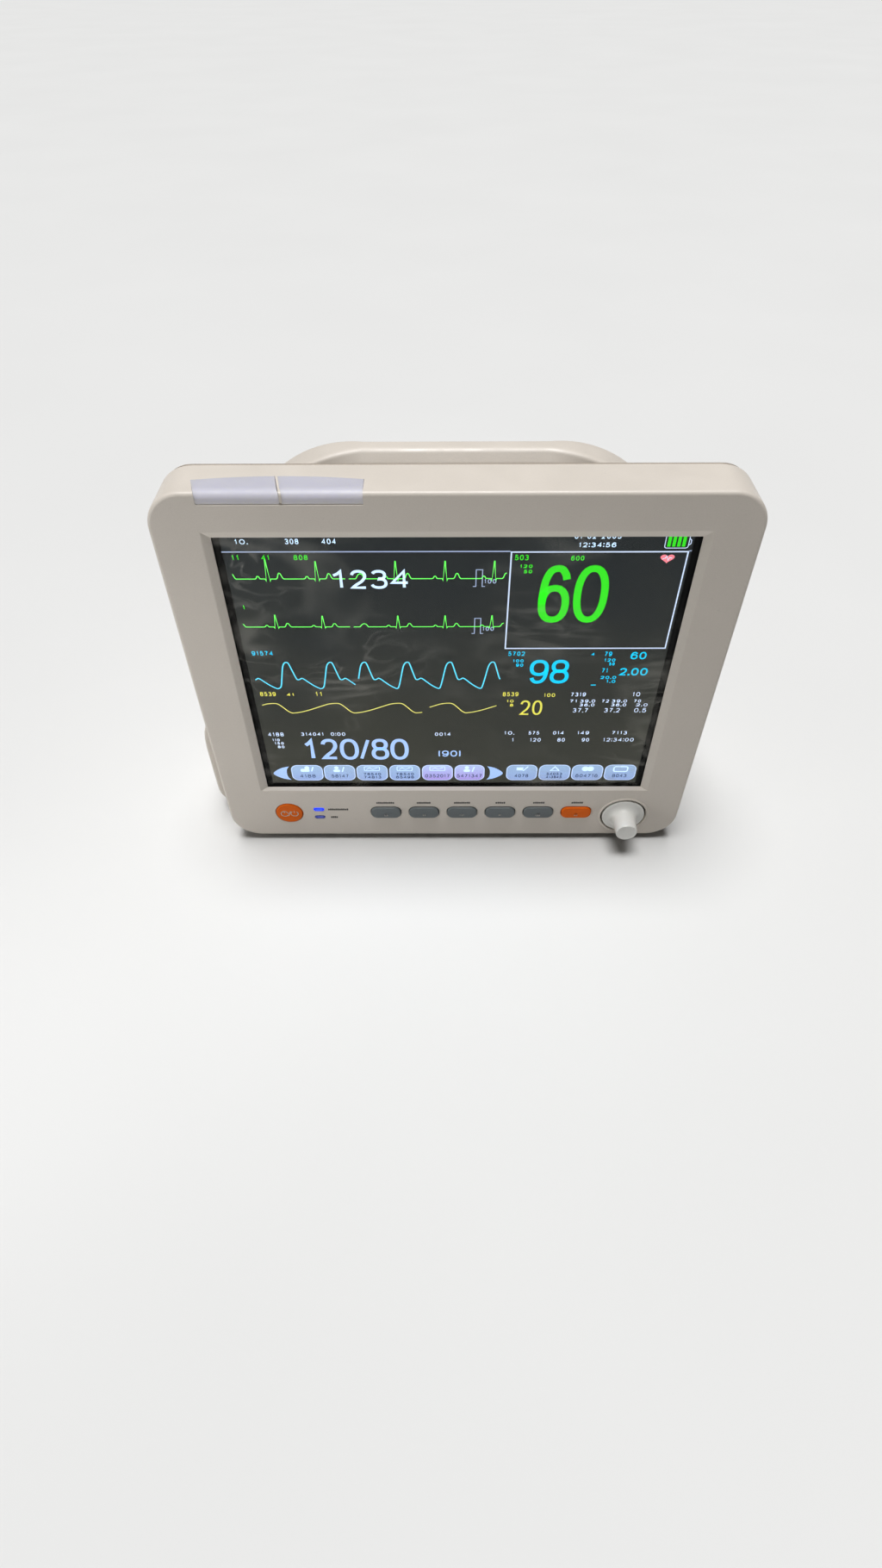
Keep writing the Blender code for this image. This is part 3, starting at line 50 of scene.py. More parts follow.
PLACE = Matrix.Translation((CENTRE_X, FACE_Y, 0)) @ Matrix.Scale(0.001, 4)

HALF_WIDTH, BOTTOM, TOP, CORNER = 156.35, 4.0, 264.0, 20.0
BEZEL_DEPTH = 29.5
WALL = 2.6
BACK, INSIDE_BACK, BACK_ROUND = 127.0, 119.0, 15.0
HUMP_HALF, HUMP_TOP, FLOOR = 139.0, 222.0, 5.4
KEY_XS = [-47.1 + 26.4 * index for index in range(6)]
KEY_Z = 28.5
POWER = (-114.5, 27.7)
KNOB = (118.2, 25.0)
LIGHT_X, LIGHT_ZS = -93.6, (31.3, 23.4)
SCREWS = ((-145.0, 246.0), (145.0, 246.0), (-145.8, 130.0), (145.8, 130.0))
DOOR_X, DOOR_TOP, DOOR_PIN = (14.0, 106.0), 68.0, (125.7, 21.4)
STUD = (60.0, 62.6)
INLET_X, LAN_X = 92.0, 58.0
POST = (58.0, 134.0)
SPEAKER = (-82.0, 56.0)


# ---- outlines and solids ----


def on_axis(axis, across, up, along):
    if axis == "X":
        return Vector((along, across, up))
    if axis == "Y":
        return Vector((across, along, up))
    return Vector((across, up, along))


def rectangle(half, low, high, centre=0.0):
    left, right = centre - half, centre + half
    return [(left, low), (right, low), (right, high), (left, high)]


def rounded_rectangle(half, low, high, radius, steps=8, centre=0.0):
    right, left = centre + half - radius, centre - half + radius
    corners = ((right, low + radius, -90), (right, high - radius, 0),
               (left, high - radius, 90), (left, low + radius, 180))
    points = []
    for corner_x, corner_y, start in corners:
        points += arc((corner_x, corner_y), radius, start, start + 90, steps)
    return points


def arc(centre, radius, start, end, steps=14):
    points = []
    for step in range(steps + 1):
        angle = math.radians(start + (end - start) * step / steps)
        points.append((centre[0] + radius * math.cos(angle),
                       centre[1] + radius * math.sin(angle)))
    return points


def circle(radius, centre, steps=48):
    return arc(centre, radius, 0, 360, steps)[:-1]


def quarter(radius, steps, start=0):
    """(setback, inset) pairs of a quarter round that starts flat on a face."""
    for step in range(steps + 1):
        angle = math.radians(start + (90 - start) * step / steps)
        yield radius * (1 - math.cos(angle)), radius * (1 - math.sin(angle))


def link_mesh(name, bm):
    mesh = bpy.data.meshes.new(name)
    bm.to_mesh(mesh)
    bm.free()
    obj = bpy.data.objects.new(name, mesh)
    bpy.context.scene.collection.objects.link(obj)
    return obj


def new_object(name, bm):
    bmesh.ops.recalc_face_normals(bm, faces=bm.faces)
    return link_mesh(name, bm)


def skin(bm, loops, closed=False):
    if not closed:
        bm.faces.new(loops[0])
        bm.faces.new(loops[-1])
    for first, second in zip(loops, loops[1:] + loops[:1] if closed else loops[1:]):
        for index in range(len(first)):
            after = (index + 1) % len(first)
            bm.faces.new((first[index], first[after], second[after], second[index]))


def loft_in(bm, rings, axis="Y", closed=False):
    """Skin over (along, outline) rings, capped at its ends unless it closes on itself."""
    loops = [
        [bm.verts.new(on_axis(axis, across, up, along)) for across, up in outline]
        for along, outline in rings
    ]
    skin(bm, loops, closed)


def loft(name, rings, axis="Y"):
    bm = bmesh.new()
    loft_in(bm, rings, axis)
    return new_object(name, bm)


def prism_in(bm, outline, start, end, axis="Y"):
    loft_in(bm, [(start, outline), (end, outline)], axis)


def prisms(name, outlines, start, end, axis="Y"):
    bm = bmesh.new()
    for outline in outlines:
        prism_in(bm, outline, start, end, axis)
    return new_object(name, bm)


def box(name, low, high):
    outline = rectangle((high[0] - low[0]) / 2, low[2], high[2], (low[0] + high[0]) / 2)
    return prisms(name, [outline], low[1], high[1])


def lathe_in(bm, profile, axis="Y", centre=(0.0, 0.0), steps=64):
    rings = []
    for radius, along in profile:
        if radius < 1e-6:
            rings.append([bm.verts.new(on_axis(axis, *centre, along))])
        else:
            outline = circle(radius, centre, steps)
            rings.append([bm.verts.new(on_axis(axis, *point, along)) for point in outline])
    for first, second in zip(rings, rings[1:]):
        for index in range(steps):
            after = (index + 1) % steps
            corners = [first[index % len(first)], first[after % len(first)]]
            corners += [second[after % len(second)], second[index % len(second)]]
            unique = list(dict.fromkeys(corners))
            if len(unique) > 2:
                bm.faces.new(unique)


def lathe(name, profile, axis="Y", centre=(0.0, 0.0), steps=64):
    bm = bmesh.new()
    lathe_in(bm, profile, axis, centre, steps)
    return new_object(name, bm)


def hoop(name, section, centre):
    """Ring with a closed section of (radius, y) points around an axis along Y."""
    bm = bmesh.new()
    loft_in(bm, [(y, circle(radius, centre, 96)) for radius, y in section], closed=True)
    return new_object(name, bm)


def smooth_path(points, steps):
    """Catmull-Rom curve through the points."""
    points = [Vector(point) for point in points]
    curve = []
    for index, (start, end) in enumerate(zip(points, points[1:])):
        before, after = points[max(index - 1, 0)], points[min(index + 2, len(points) - 1)]
        for t in (step / steps for step in range(steps)):
            curve.append(0.5 * (
                2 * start + (end - before) * t
                + (2 * before - 5 * start + 4 * end - after) * t**2
                + (3 * start - before - 3 * end + after) * t**3))
    return [tuple(point) for point in curve + [points[-1]]]


def apply_modifiers(obj):
    view = bpy.context.evaluated_depsgraph_get()
    mesh = bpy.data.meshes.new_from_object(obj.evaluated_get(view))
    obj.modifiers.clear()
    obj.data = mesh
    return obj


def combine(obj, operation, *tools):
    for tool in tools:
        modifier = obj.modifiers.new("combine", "BOOLEAN")
        modifier.operation = operation
        modifier.solver = "EXACT"
        modifier.object = tool
    apply_modifiers(obj)
    for tool in tools:
        bpy.data.objects.remove(tool)
    return obj


def cut(obj, *tools):
    return combine(obj, "DIFFERENCE", *tools)


def mouth(outline_of, radius, end, sign=1.0, face=0.0):
    """Rings of a cutter whose mouth at a face is rounded by a radius."""
    rounded = [(face + sign * setback, outline_of(inset))
               for setback, inset in quarter(radius, 4, start=12)]
    return [(face - sign, outline_of(radius)), *rounded, (end, outline_of(0))]


def settle(obj, body, material, *replaced, slot=None, sharp=32, weighted=True):
    """Puts a finished shape in the frame, on its body and with its material."""
    obj.data.transform(PLACE)
    obj.data.materials.clear()
    obj.data.materials.append(material)
    obj.data.polygons.foreach_set("material_index", [0] * len(obj.data.polygons))
    obj.data.shade_smooth()
    obj.data.set_sharp_from_angle(angle=math.radians(sharp))
    if weighted:
        modifier = obj.modifiers.new("weighted", "WEIGHTED_NORMAL")
        modifier.keep_sharp = True
        apply_modifiers(obj)
    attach(obj, body)
    if replaced:
        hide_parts(*replaced)
    return obj


# ---- materials ----


def add(tree, kind, attributes=None, **inputs):
    item = tree.nodes.new("ShaderNode" + kind)
    for key, value in (attributes or {}).items():
        setattr(item, key, value)
    fill(tree, item, **inputs)
    return item


def fill(tree, item, **inputs):
    """Sets or links a node's inputs by name, with _ for a space."""
    for key, value in inputs.items():
        put(tree, item.inputs[key.replace("_", " ")], value)


def put(tree, socket, value):
    if isinstance(value, bpy.types.NodeSocket):
        tree.links.new(value, socket)
    elif socket.type == "RGBA":
        socket.default_value = (*value, 1.0)
    else:
        socket.default_value = value


def noise(tree, place, scale, detail=2.0, distortion=0.0, rough=0.5):
    made = add(tree, "TexNoise", Vector=place, Scale=scale, Detail=detail,
               Distortion=distortion, Roughness=rough)
    return made.outputs["Fac"]


def spread(tree, value, low, high, to_low=0.0, to_high=1.0):
    made = add(tree, "MapRange", Value=value, From_Min=low, From_Max=high, To_Min=to_low,
               To_Max=to_high)
    return made.outputs["Result"]


def mottle(tree, place, scale, detail=3.0, low=0.0, high=1.0, distortion=0.0):
    """Noise stretched to run from low to high."""
    return spread(tree, noise(tree, place, scale, detail, distortion), 0.3, 0.7, low, high)


def mix(tree, share, first, second):
    made = add(tree, "Mix", {"data_type": "RGBA"})
    for index, value in ((0, share), (6, first), (7, second)):
        put(tree, made.inputs[index], value)
    return made.outputs[2]


def arithmetic(tree, operation, first, second=0.0):
    made = add(tree, "Math", {"operation": operation})
    put(tree, made.inputs[0], first)
    put(tree, made.inputs[1], second)
    return made.outputs[0]


def relief(tree, height, strength, distance):
    made = add(tree, "Bump", Strength=strength, Distance=distance, Height=height)
    return made.outputs["Normal"]


def axis_of(tree, place, axis):
    return add(tree, "SeparateXYZ", Vector=place).outputs[axis]


def shades(colour, amount):
    return [tuple(min(1.0, c * (1 + change)) for c in colour) for change in (-amount, amount)]


def start_material(name):
    material = bpy.data.materials.new(name)
    material.use_nodes = True
    tree = material.node_tree
    return material, tree, tree.nodes["Principled BSDF"], add(tree, "TexCoord").outputs["Object"]


def moulded(name, colour, roughness, grain, bump, tint=0.035, cloud=14.0, metallic=0.0,
            specular=0.5, dust=0.0):
    """Plastic, rubber or metal: mottled colour, uneven gloss and a fine raised grain."""
    material, tree, shader, place = start_material(name)
    wide = mottle(tree, place, cloud)
    fine = noise(tree, place, grain)
    flecks = mix(tree, spread(tree, fine, 0.3, 0.7), *shades(colour, tint * 1.6))
    colours = mix(tree, 0.35, mix(tree, wide, *shades(colour, tint)), flecks)
    if dust:
        marks = noise(tree, place, 420.0, 4.0, 0.6, 0.62)
        dark = tuple(c * 0.45 for c in colour)
        colours = mix(tree, spread(tree, marks, 0.66, 0.74, 0.0, dust), colours, dark)
    worn = noise(tree, place, 55.0, 5.0, 0.4)
    fill(tree, shader, Base_Color=colours, Metallic=metallic, Specular_IOR_Level=specular,
         Roughness=spread(tree, worn, 0.32, 0.68, *roughness),
         Normal=relief(tree, fine, bump, 0.00012))
    return material


def lit(name, colour, strength, second=None, heights=None):
    """Shapes that the display shows. The light flickers slightly from dot to dot."""
    material, tree, shader, place = start_material(name)
    dots = mottle(tree, place, 2600.0, 1.0)
    shown = mix(tree, dots, *shades(colour, 0.07))
    if second:
        share = spread(tree, axis_of(tree, place, "Z"), *(height / 1000 for height in heights))
        shown = mix(tree, share, mix(tree, dots, *shades(second, 0.05)), shown)
    fill(tree, shader, Emission_Color=shown, Base_Color=shown, Emission_Strength=strength,
         Roughness=0.35, Specular_IOR_Level=0.0)
    return material


def srgb(red, green, blue):
    return tuple(
        (v / 255 / 12.92) if v <= 10 else ((v / 255 + 0.055) / 1.055) ** 2.4
        for v in (red, green, blue)
    )


CASING = moulded(
    "casing_plastic", (0.69, 0.643, 0.587), (0.36, 0.5), 1700.0, 0.16, 0.03, dust=0.10
)
GREY = moulded("panel_grey", srgb(176, 172, 166), (0.42, 0.55), 1700.0, 0.18)
KEY = moulded("key_grey", srgb(122, 128, 130), (0.34, 0.5), 2400.0, 0.10, 0.06)
ORANGE = moulded("button_orange", srgb(226, 120, 34), (0.34, 0.48), 2400.0, 0.10, 0.06,
                 specular=0.25)
KNOB_WHITE = moulded("knob_white", (0.77, 0.765, 0.735), (0.3, 0.45), 2000.0, 0.10, 0.03)
STEEL = moulded(
    "plated_steel", (0.60, 0.60, 0.585), (0.24, 0.42), 1500.0, 0.10, 0.05, metallic=1.0
)
DARK_METAL = moulded(
    "dark_metal", (0.10, 0.10, 0.11), (0.4, 0.6), 1200.0, 0.2, 0.1, metallic=0.6
)
BRASS = moulded(
    "plated_brass", (0.76, 0.60, 0.32), (0.22, 0.4), 1500.0, 0.1, 0.06, metallic=1.0
)
BOARD = moulded("circuit_board", (0.03, 0.17, 0.075), (0.3, 0.5), 900.0, 0.25, 0.2, 160.0)
BATTERY = moulded("battery_wrap", (0.05, 0.075, 0.16), (0.35, 0.5), 700.0, 0.1, 0.08)
BLACK = moulded("black_plastic", (0.022, 0.022, 0.023), (0.34, 0.5), 1800.0, 0.2, 0.15)
SOCKET = moulded("socket_plastic", srgb(205, 205, 202), (0.32, 0.45), 2000.0, 0.1, 0.03)
RUBBER = moulded("soft_rubber", (0.035, 0.035, 0.036), (0.65, 0.85), 900.0, 0.35, 0.15)
LABEL = moulded("label_film", (0.72, 0.72, 0.70), (0.3, 0.4), 600.0, 0.04, 0.02)
PRINT = moulded("label_print", (0.105, 0.10, 0.095), (0.4, 0.5), 2600.0, 0.05, 0.15)
PALE_PRINT = moulded("pale_print", (0.60, 0.56, 0.52), (0.4, 0.5), 2600.0, 0.05, 0.05)


def lens_material():
    """Milky plastic that light goes into a little. Its colour is darker towards its top, which
    is painted shade that evens out the overhead light on its upward faces.
    """
    material, tree, shader, place = start_material("alarm_lens")
    # Painted shade: the colour goes from the lighter front to the darker top by height,
    # offsetting how the ceiling light falls on the lens.
    painted_top_shade = spread(tree, axis_of(tree, place, "Z"), 0.2585, 0.2635)
    share = arithmetic(tree, "ADD", painted_top_shade, mottle(tree, place, 60.0, 3.0, -0.06, 0.06))
    fill(tree, shader, Base_Color=mix(tree, share, (0.69, 0.67, 0.705), (0.555, 0.55, 0.61)),
         Subsurface_Weight=0.3, Subsurface_Radius=(0.004, 0.004, 0.006), Subsurface_Scale=1.0,
         Roughness=mottle(tree, place, 80.0, 4.0, 0.42, 0.55),
         Normal=relief(tree, noise(tree, place, 900.0), 0.05, 0.0001))
    return material


def streaks(tree, place, scale, distortion, width, offset):
    """Thin curved bands where a warped noise crosses its middle value."""
    moved = add(tree, "Mapping", Vector=place, Location=offset, Rotation=(0.0, 0.55, 0.0),
                Scale=(1.0, 1.0, 1.9)).outputs["Vector"]
    field = noise(tree, moved, scale, 2.0, distortion, 0.45)
    away = arithmetic(tree, "ABSOLUTE", arithmetic(tree, "SUBTRACT", field, 0.5))
    return spread(tree, away, 0.0, width, 1.0, 0.0)


def window_material():
    """Clear cover with the faint haze of its protective film, and whitish wisps along the film's
    wrinkles that are painted reflections.
    """
    material, tree, shader, place = start_material("clear_window")
    wide = streaks(tree, place, 7.0, 1.3, 0.05, (0.31, 0.0, 0.12))
    thin = streaks(tree, place, 17.0, 2.2, 0.03, (1.7, 0.0, 0.55))
    patches = spread(tree, noise(tree, place, 13.0, 3.0), 0.44, 0.64)
    # The wrinkles raise a bump, and their whitish colour shown through the alpha is a painted
    # reflection of light off the film.
    wrinkles_and_glints = arithmetic(tree, "MULTIPLY", arithmetic(tree, "MAXIMUM", wide, thin), patches)
    alpha = arithmetic(tree, "ADD", spread(tree, wrinkles_and_glints, 0.0, 1.0, 0.01, 0.115),
                       spread(tree, patches, 0.0, 1.0, 0.0, 0.012))
    fill(tree, shader, Alpha=alpha, Base_Color=(0.80, 0.78, 0.72),
         Roughness=spread(tree, patches, 0.0, 1.0, 0.10, 0.22),
         Normal=relief(tree, wrinkles_and_glints, 0.2, 0.0003))
    return material


# Where the light of the display fades out at its sides and at its foot, in metres.
LIT_SIDE, LIT_FOOT = (0.1222, 0.1228), (0.0535, 0.0542)


def cell_material():
    """The dark display: a grey glow that is warmer and lighter lower down."""
    material, tree, shader, place = start_material("display_black")
    z = axis_of(tree, place, "Z")
    cloud = mottle(tree, place, 11.0, 3.0, -0.18, 0.18, 0.5)
    share = arithmetic(tree, "ADD", spread(tree, z, 0.055, 0.235), cloud)
    glow = mix(tree, share, (0.062, 0.063, 0.053), (0.034, 0.039, 0.041))
    side = arithmetic(tree, "ABSOLUTE",
                      arithmetic(tree, "SUBTRACT", axis_of(tree, place, "X"), CENTRE_X))
    inside = spread(tree, side, *LIT_SIDE, 1.0, 0.0)
    lit_area = arithmetic(tree, "MULTIPLY", inside, spread(tree, z, *LIT_FOOT))
    shown = mix(tree, lit_area, (0.0025, 0.0028, 0.003), glow)
    fill(tree, shader, Emission_Color=shown, Emission_Strength=0.75,
         Base_Color=mix(tree, 0.5, shown, (0.004, 0.004, 0.005)),
         Roughness=mottle(tree, place, 90.0, 3.0, 0.12, 0.2), Specular_IOR_Level=0.12)
    return material


def lamp_material(name, colour, rim, strength, row):
    """A lit plastic light pipe, brightest in its middle."""
    material, tree, shader, place = start_material(name)
    edges = []
    for axis, middle, reach in (("X", CENTRE_X + LIGHT_X / 1000, 0.0036),
                                ("Z", row / 1000, 0.0015)):
        away = arithmetic(tree, "SUBTRACT", axis_of(tree, place, axis), middle)
        edges.append(arithmetic(tree, "ABSOLUTE", arithmetic(tree, "DIVIDE", away, reach)))
    edge = arithmetic(tree, "ADD", arithmetic(tree, "MAXIMUM", *edges),
                      mottle(tree, place, 700.0, 2.0, -0.15, 0.15))
    shown = mix(tree, spread(tree, edge, 0.45, 1.0), colour, rim)
    fill(tree, shader, Emission_Color=shown, Base_Color=shown, Emission_Strength=strength,
         Roughness=0.2)
    return material


LENS = lens_material()
WINDOW = window_material()
CELL = cell_material()
POWER_LAMP = lamp_material("lamp_bright", srgb(45, 80, 255), srgb(20, 35, 235), 0.9,
                           LIGHT_ZS[0])
MAINS_LAMP = lamp_material("lamp_dim", srgb(86, 96, 168), srgb(58, 66, 122), 0.3,
                           LIGHT_ZS[1])

# ---- casing ----


def bezel_outline(inset):
    return rounded_rectangle(HALF_WIDTH - inset, BOTTOM + inset, TOP - inset, CORNER - inset, 18)


def key_outline(x, grow):
    half = 5.2 + grow
    return rounded_rectangle(10.25 + grow, KEY_Z - half, KEY_Z + half, 4.4 + grow, 10, x)


def light_outline(z, grow):
    half = 1.4 + grow
    return rounded_rectangle(3.5 + grow, z - half, z + half, half * 0.98, 8, LIGHT_X)


def opening_outline(side, low):
    return rectangle(126.1 + side, 52.3 - low, 238.4 + side)


def lens_plan(left, right, clearance, right_slant, front=-2.0, back=0.0):
    """Plan of one alarm lens: slanted sides, and a back edge on a shallow arc."""
    middle, half = -88.65, 42.35
    ahead = 1 - (front + 2.0) / 8.0
    points = [(left + 2.2 * ahead + clearance, front),
              (right + right_slant * ahead - clearance, front)]
    start, end = right - right_slant - clearance, left - 2.2 + clearance
    for step in range(17):
        x = start + (end - start) * step / 16
        share = ((x - middle) / half) ** 2
        points.append((x, 17.4 - 3.4 * share - clearance - back))
    return points


LENS_SPANS = (("left", -131.0, -89.3, 2.2), ("right", -88.0, -46.3, 0.0))
LENS_TOP, LENS_FOOT, LENS_ROUND, LENS_FIT = 264.3, 258.05, 4.2, -0.06


def build_bezel():
    rings = [(setback, bezel_outline(inset)) for setback, inset in quarter(2.1, 8)]
    rings += [(29.15, bezel_outline(0)), (BEZEL_DEPTH, bezel_outline(0.35))]
    shell = loft("bezel_shell", rings)
    inside = loft("tool", [(WALL, bezel_outline(WALL)), (31.5, bezel_outline(WALL))])
    chamfer = ((-0.8, 4.95, 2.45), (0.02, 4.85, 2.35), (0.14, 4.55, 2.1), (0.4, 4.0, 1.8),
               (2.2, 0.45, 0.72), (2.45, 0.16, 0.6), (2.7, 0.0, 0.45), (3.8, 0.0, 0.0))
    opening = loft("tool", [(y, opening_outline(side, low)) for y, side, low in chamfer])
    holes = bmesh.new()
    for x in KEY_XS:
        loft_in(holes, mouth(lambda grow, x=x: key_outline(x, 0.25 + grow), 0.45, 3.8))
    for z in LIGHT_ZS:
        loft_in(holes, mouth(lambda grow, z=z: light_outline(z, 0.2 + grow), 0.25, 3.8))
    loft_in(holes, mouth(lambda grow: circle(9.5 + grow, POWER, 64), 0.5, 3.8))
    well = [(0, -1.5), (17.1, -1.5), (17.05, 0.04), (16.6, 0.12), (16.1, 0.34)]
    well += [(15.7, 0.7), (15.45, 1.2), (15.4, 1.8), (15.4, 3.8), (0, 3.8)]
    lathe_in(holes, well, centre=KNOB, steps=96)
    cut(shell, inside, opening, new_object("tool", holes))
    for _, left, right, slant in LENS_SPANS:
        notch = lens_plan(left, right, 0.0, slant)
        cut(shell, prisms("tool", [notch], 258.0, 270.0, axis="Z"))
    ledge = [(-0.6, 256.75), (0.9, 258.25), (-0.6, 259.75)]
    cut(shell, prisms("tool", [ledge], -128.9, -46.3, axis="X"))
    settle(shell, "monitor_body", CASING, "front_bezel")
    section = [(17.5, 0.6), (17.45, 0.05), (17.2, -0.35), (16.75, -0.6), (16.3, -0.62)]
    section += [(15.9, -0.45), (15.62, -0.1), (15.58, 0.6)]
    collar = hoop("knob_collar", section, KNOB)
    settle(collar, "monitor_body", CASING, sharp=60, weighted=False)


def housing_rings():
    """Rim, ledge with a soft foot, hump and rounded back."""
    rim = (154.95, FLOOR, 262.6, 18.6)

    def outline(side, low, top, radius):
        return rounded_rectangle(side, low, top, radius, 14)

    rings = [(29.8, outline(*rim))]
    for setback, inset in reversed(list(quarter(1.0, 5))):
        rings.append((34.0 - setback, outline(
            rim[0] - 1.0 + inset, FLOOR, rim[2] - 1.0 + inset, rim[3] - 0.7)))
    for setback, inset in quarter(1.0, 6):
        out = 2.0 * inset
        rings.append((34.1 + 3.9 * setback, outline(
            HUMP_HALF + out, FLOOR, HUMP_TOP + out, 14.0 + out)))
    for drop, left in quarter(1.0, 12):
        rings.append((BACK - BACK_ROUND * left, outline(
            HUMP_HALF - 12.0 * drop, FLOOR + 5.6 * drop, HUMP_TOP - 11.0 * drop,
            14.0 - 2.0 * drop)))
    return rings


def inner_rings():
    """The cavity, one wall inside the casing."""
    rim = rounded_rectangle(152.35, 8.0, 260.0, 16.0)
    hump = rounded_rectangle(136.4, 8.0, 219.4, 14.0)
    return [
        (27.5, rim), (31.3, rim), (31.5, hump), (109.4, hump),
        (120.4, rounded_rectangle(132.4, 10.4, 215.9, 14.0)),
        (124.4, rounded_rectangle(124.4, 13.6, 208.4, 12.0)),
    ]


def pod_outline(out, inset):
    top, bottom = 99.0 - inset, FLOOR + inset
    base = HALF_WIDTH - 1.4 - inset
    points = [(-131.0, top)]
    for step in range(41):
        share = math.cos(math.pi * step / 40)
        power = 3.6 if share > 0 else 12.0
        half = top - 50.0 if share > 0 else 50.0 - bottom
        reach = base + (out + 1.4) * (1 - abs(share) ** power)
        points.append((-reach, 50.0 + share * half))
    return points + [(-131.0, bottom)]


def pod_rings(inset):
    """Bulge on the left side, rounded in front and fading into the casing at the back."""
    front, back, out = 29.8 + inset, 106.0 - inset, 15.3
    rings = [(front + setback, pod_outline(out - drop, inset))
             for setback, drop in quarter(2.2, 6)]
    rings += [(back - 9 * left, pod_outline(out - 28.0 * drop ** 1.3, inset))
              for drop, left in quarter(1.0, 9)]
    return rings


def slot_cutter(bm, x, low, high, half):
    """A slot through the back with round ends and a rounded mouth."""
    radius = min(half, (high - low) / 2)
    loft_in(bm, mouth(
        lambda grow: rounded_rectangle(
            half + grow, low - grow, high + grow, (radius + grow) * 0.98, 5, x),
        0.5, INSIDE_BACK, -1.0, BACK))


def build_housing():
    housing = loft("housing_shell", housing_rings())
    combine(housing, "UNION", loft("tool", pod_rings(0.0)))
    cut(housing, loft("tool", inner_rings()), loft("tool", pod_rings(WALL)))
    combine(housing, "UNION", box("tool", (14.0, 57.0, 21.0), (106.0, 125.7, 61.0)),
            box("tool", (11.4, 119.0, 17.0), (108.6, 125.7, 70.6)))
    door = loft("tool", mouth(
        lambda grow: rounded_rectangle(46.4 + grow, 19.6 - grow, 68.4 + grow, 1.0, 4, 60.0),
        0.5, 124.05, -1.0, BACK))
    cut(housing, box("tool", (16.0, 59.0, 23.0), (104.0, 125.0, 59.0)), door,
        prisms("tool", [circle(2.35, STUD, 24)], 120.5, 129.0),
        prisms("tool", [circle(0.85, DOOR_PIN, 16)], 10.0, 110.0, axis="X"))
    back = bmesh.new()
    for x in range(-99, 100, 11):
        slot_cutter(back, x, 168.0, 196.0, 1.6)
    for rise in range(-20, 21, 5):
        z, half = SPEAKER[1] + rise, math.sqrt(625.0 - rise ** 2) - 2.0
        slot_cutter(back, SPEAKER[0], z - 1.2, z + 1.2, half)
    prism_in(back, rectangle(13.8, 98.7, 137.3, INLET_X), INSIDE_BACK, 129.0)
    loft_in(back, mouth(
        lambda grow: rounded_rectangle(
            8.2 + grow, 101.0 - grow, 115.0 + grow, 0.6 + grow, 4, LAN_X),
        0.4, INSIDE_BACK, -1.0, BACK))
    lathe_in(back, [(0, INSIDE_BACK), (3.3, INSIDE_BACK), (3.3, 129.0), (0, 129.0)],
             centre=POST)
    cut(housing, new_object("tool", back))
    floor = [rounded_rectangle(1.6, 48.0, 92.0, 1.55, 5, x) for x in (-96.0, -85.0, -74.0)]
    cut(housing, prisms("tool", floor, 3.0, 11.0, axis="Z"))
    cover = [(44.0, 34.0), (104.0, 34.0), (104.0, 112.0), (44.0, 112.0)]
    panel = rounded_rectangle(28.0, 30.0, 78.0, 2.5, 5, 66.0)
    screw_holes = [circle(2.0, centre, 20) for centre in SCREWS]
    handle_holes = [circle(2.0, (side * 98.0, 56.0), 20) for side in (-1, 1)]
    cut(housing, prisms("tool", [cover], 131.0, 141.0, axis="X"),
        prisms("tool", [panel], -173.0, -163.0, axis="X"),
        prisms("tool", screw_holes, 27.0, 42.0),
        prisms("tool", handle_holes, 216.0, 224.0, axis="Z"))
    settle(housing, "monitor_body", CASING, "rear_housing")


def rounded_section(corners, radius):
    """A polygon whose corners are rounded by quadratic curves."""
    points = []
    for index, corner in enumerate(corners):
        before, after = corners[index - 1], corners[(index + 1) % len(corners)]
        reach = min(radius, (before - corner).length / 2.05, (after - corner).length / 2.05)
        start = corner + (before - corner).normalized() * reach
        end = corner + (after - corner).normalized() * reach
        for t in (step / 5 for step in range(6)):
            points.append(start.lerp(corner, t).lerp(corner.lerp(end, t), t))
    return points


GRIP_OUTER, GRIP_INNER = (76.0, 262.9), (32.0, 248.9)


def arch_point(share, radius, top):
    """Distance from the middle, height and turned share at a share of half the arch."""
    full = math.acos(max(0.0, (HUMP_TOP + 0.3 - top + radius) / radius))
    if share <= 0.25:
        return 50.0 * share / 0.25, top, 0.0
    turned = (share - 0.25) / 0.75
    angle = full * turned
    return 50.0 + radius * math.sin(angle), top - radius * (1 - math.cos(angle)), turned


def build_handle():
    """Arch from foot to foot, deeper and wider at its feet than in the grip."""
    bm = bmesh.new()
    loops = []
    steps = 120
    for step in range(steps + 1):
        place = 2 * step / steps - 1
        outer_x, outer_z, turned = arch_point(abs(place), *GRIP_OUTER)
        inner_x, inner_z, _ = arch_point(abs(place), *GRIP_INNER)
        flare = 1 - (1 - turned) ** 2
        front, back = 50.8 - 10.0 * flare, 60.5 + 8.0 * flare
        foremost = front - 6.0 * (1 - flare)
        middle_x, middle_z = (outer_x + inner_x) / 2, (outer_z + inner_z) / 2
        corners = [Vector((math.copysign(1.0, place) * x, y, z)) for x, y, z in (
            (outer_x, front, outer_z), (outer_x, back, outer_z), (inner_x, back, inner_z),
            (inner_x, foremost, inner_z), (middle_x, foremost, middle_z))]
        loops.append([bm.verts.new(point) for point in rounded_section(corners, 2.4)])
    skin(bm, loops)
    handle = new_object("handle_arch", bm)
    settle(handle, "monitor_body", CASING, "carry_handle", sharp=50)


def build_lenses():
    for side, left, right, slant in LENS_SPANS:
        rings = []
        for setback, inset in quarter(1.0, 10):
            plan = lens_plan(left, right, 0.2 * inset + LENS_FIT, slant, 0.25 + 6.0 * inset,
                             0.4 * inset)
            rings.append((LENS_TOP - LENS_ROUND * setback, plan))
        rings.append((LENS_FOOT, lens_plan(left, right, LENS_FIT, slant, 0.25)))
        lens = loft("lens_" + side, rings[::-1], axis="Z")
        settle(lens, "monitor_body", LENS, "alarm_lens_" + side, sharp=60)


# ---- front controls ----


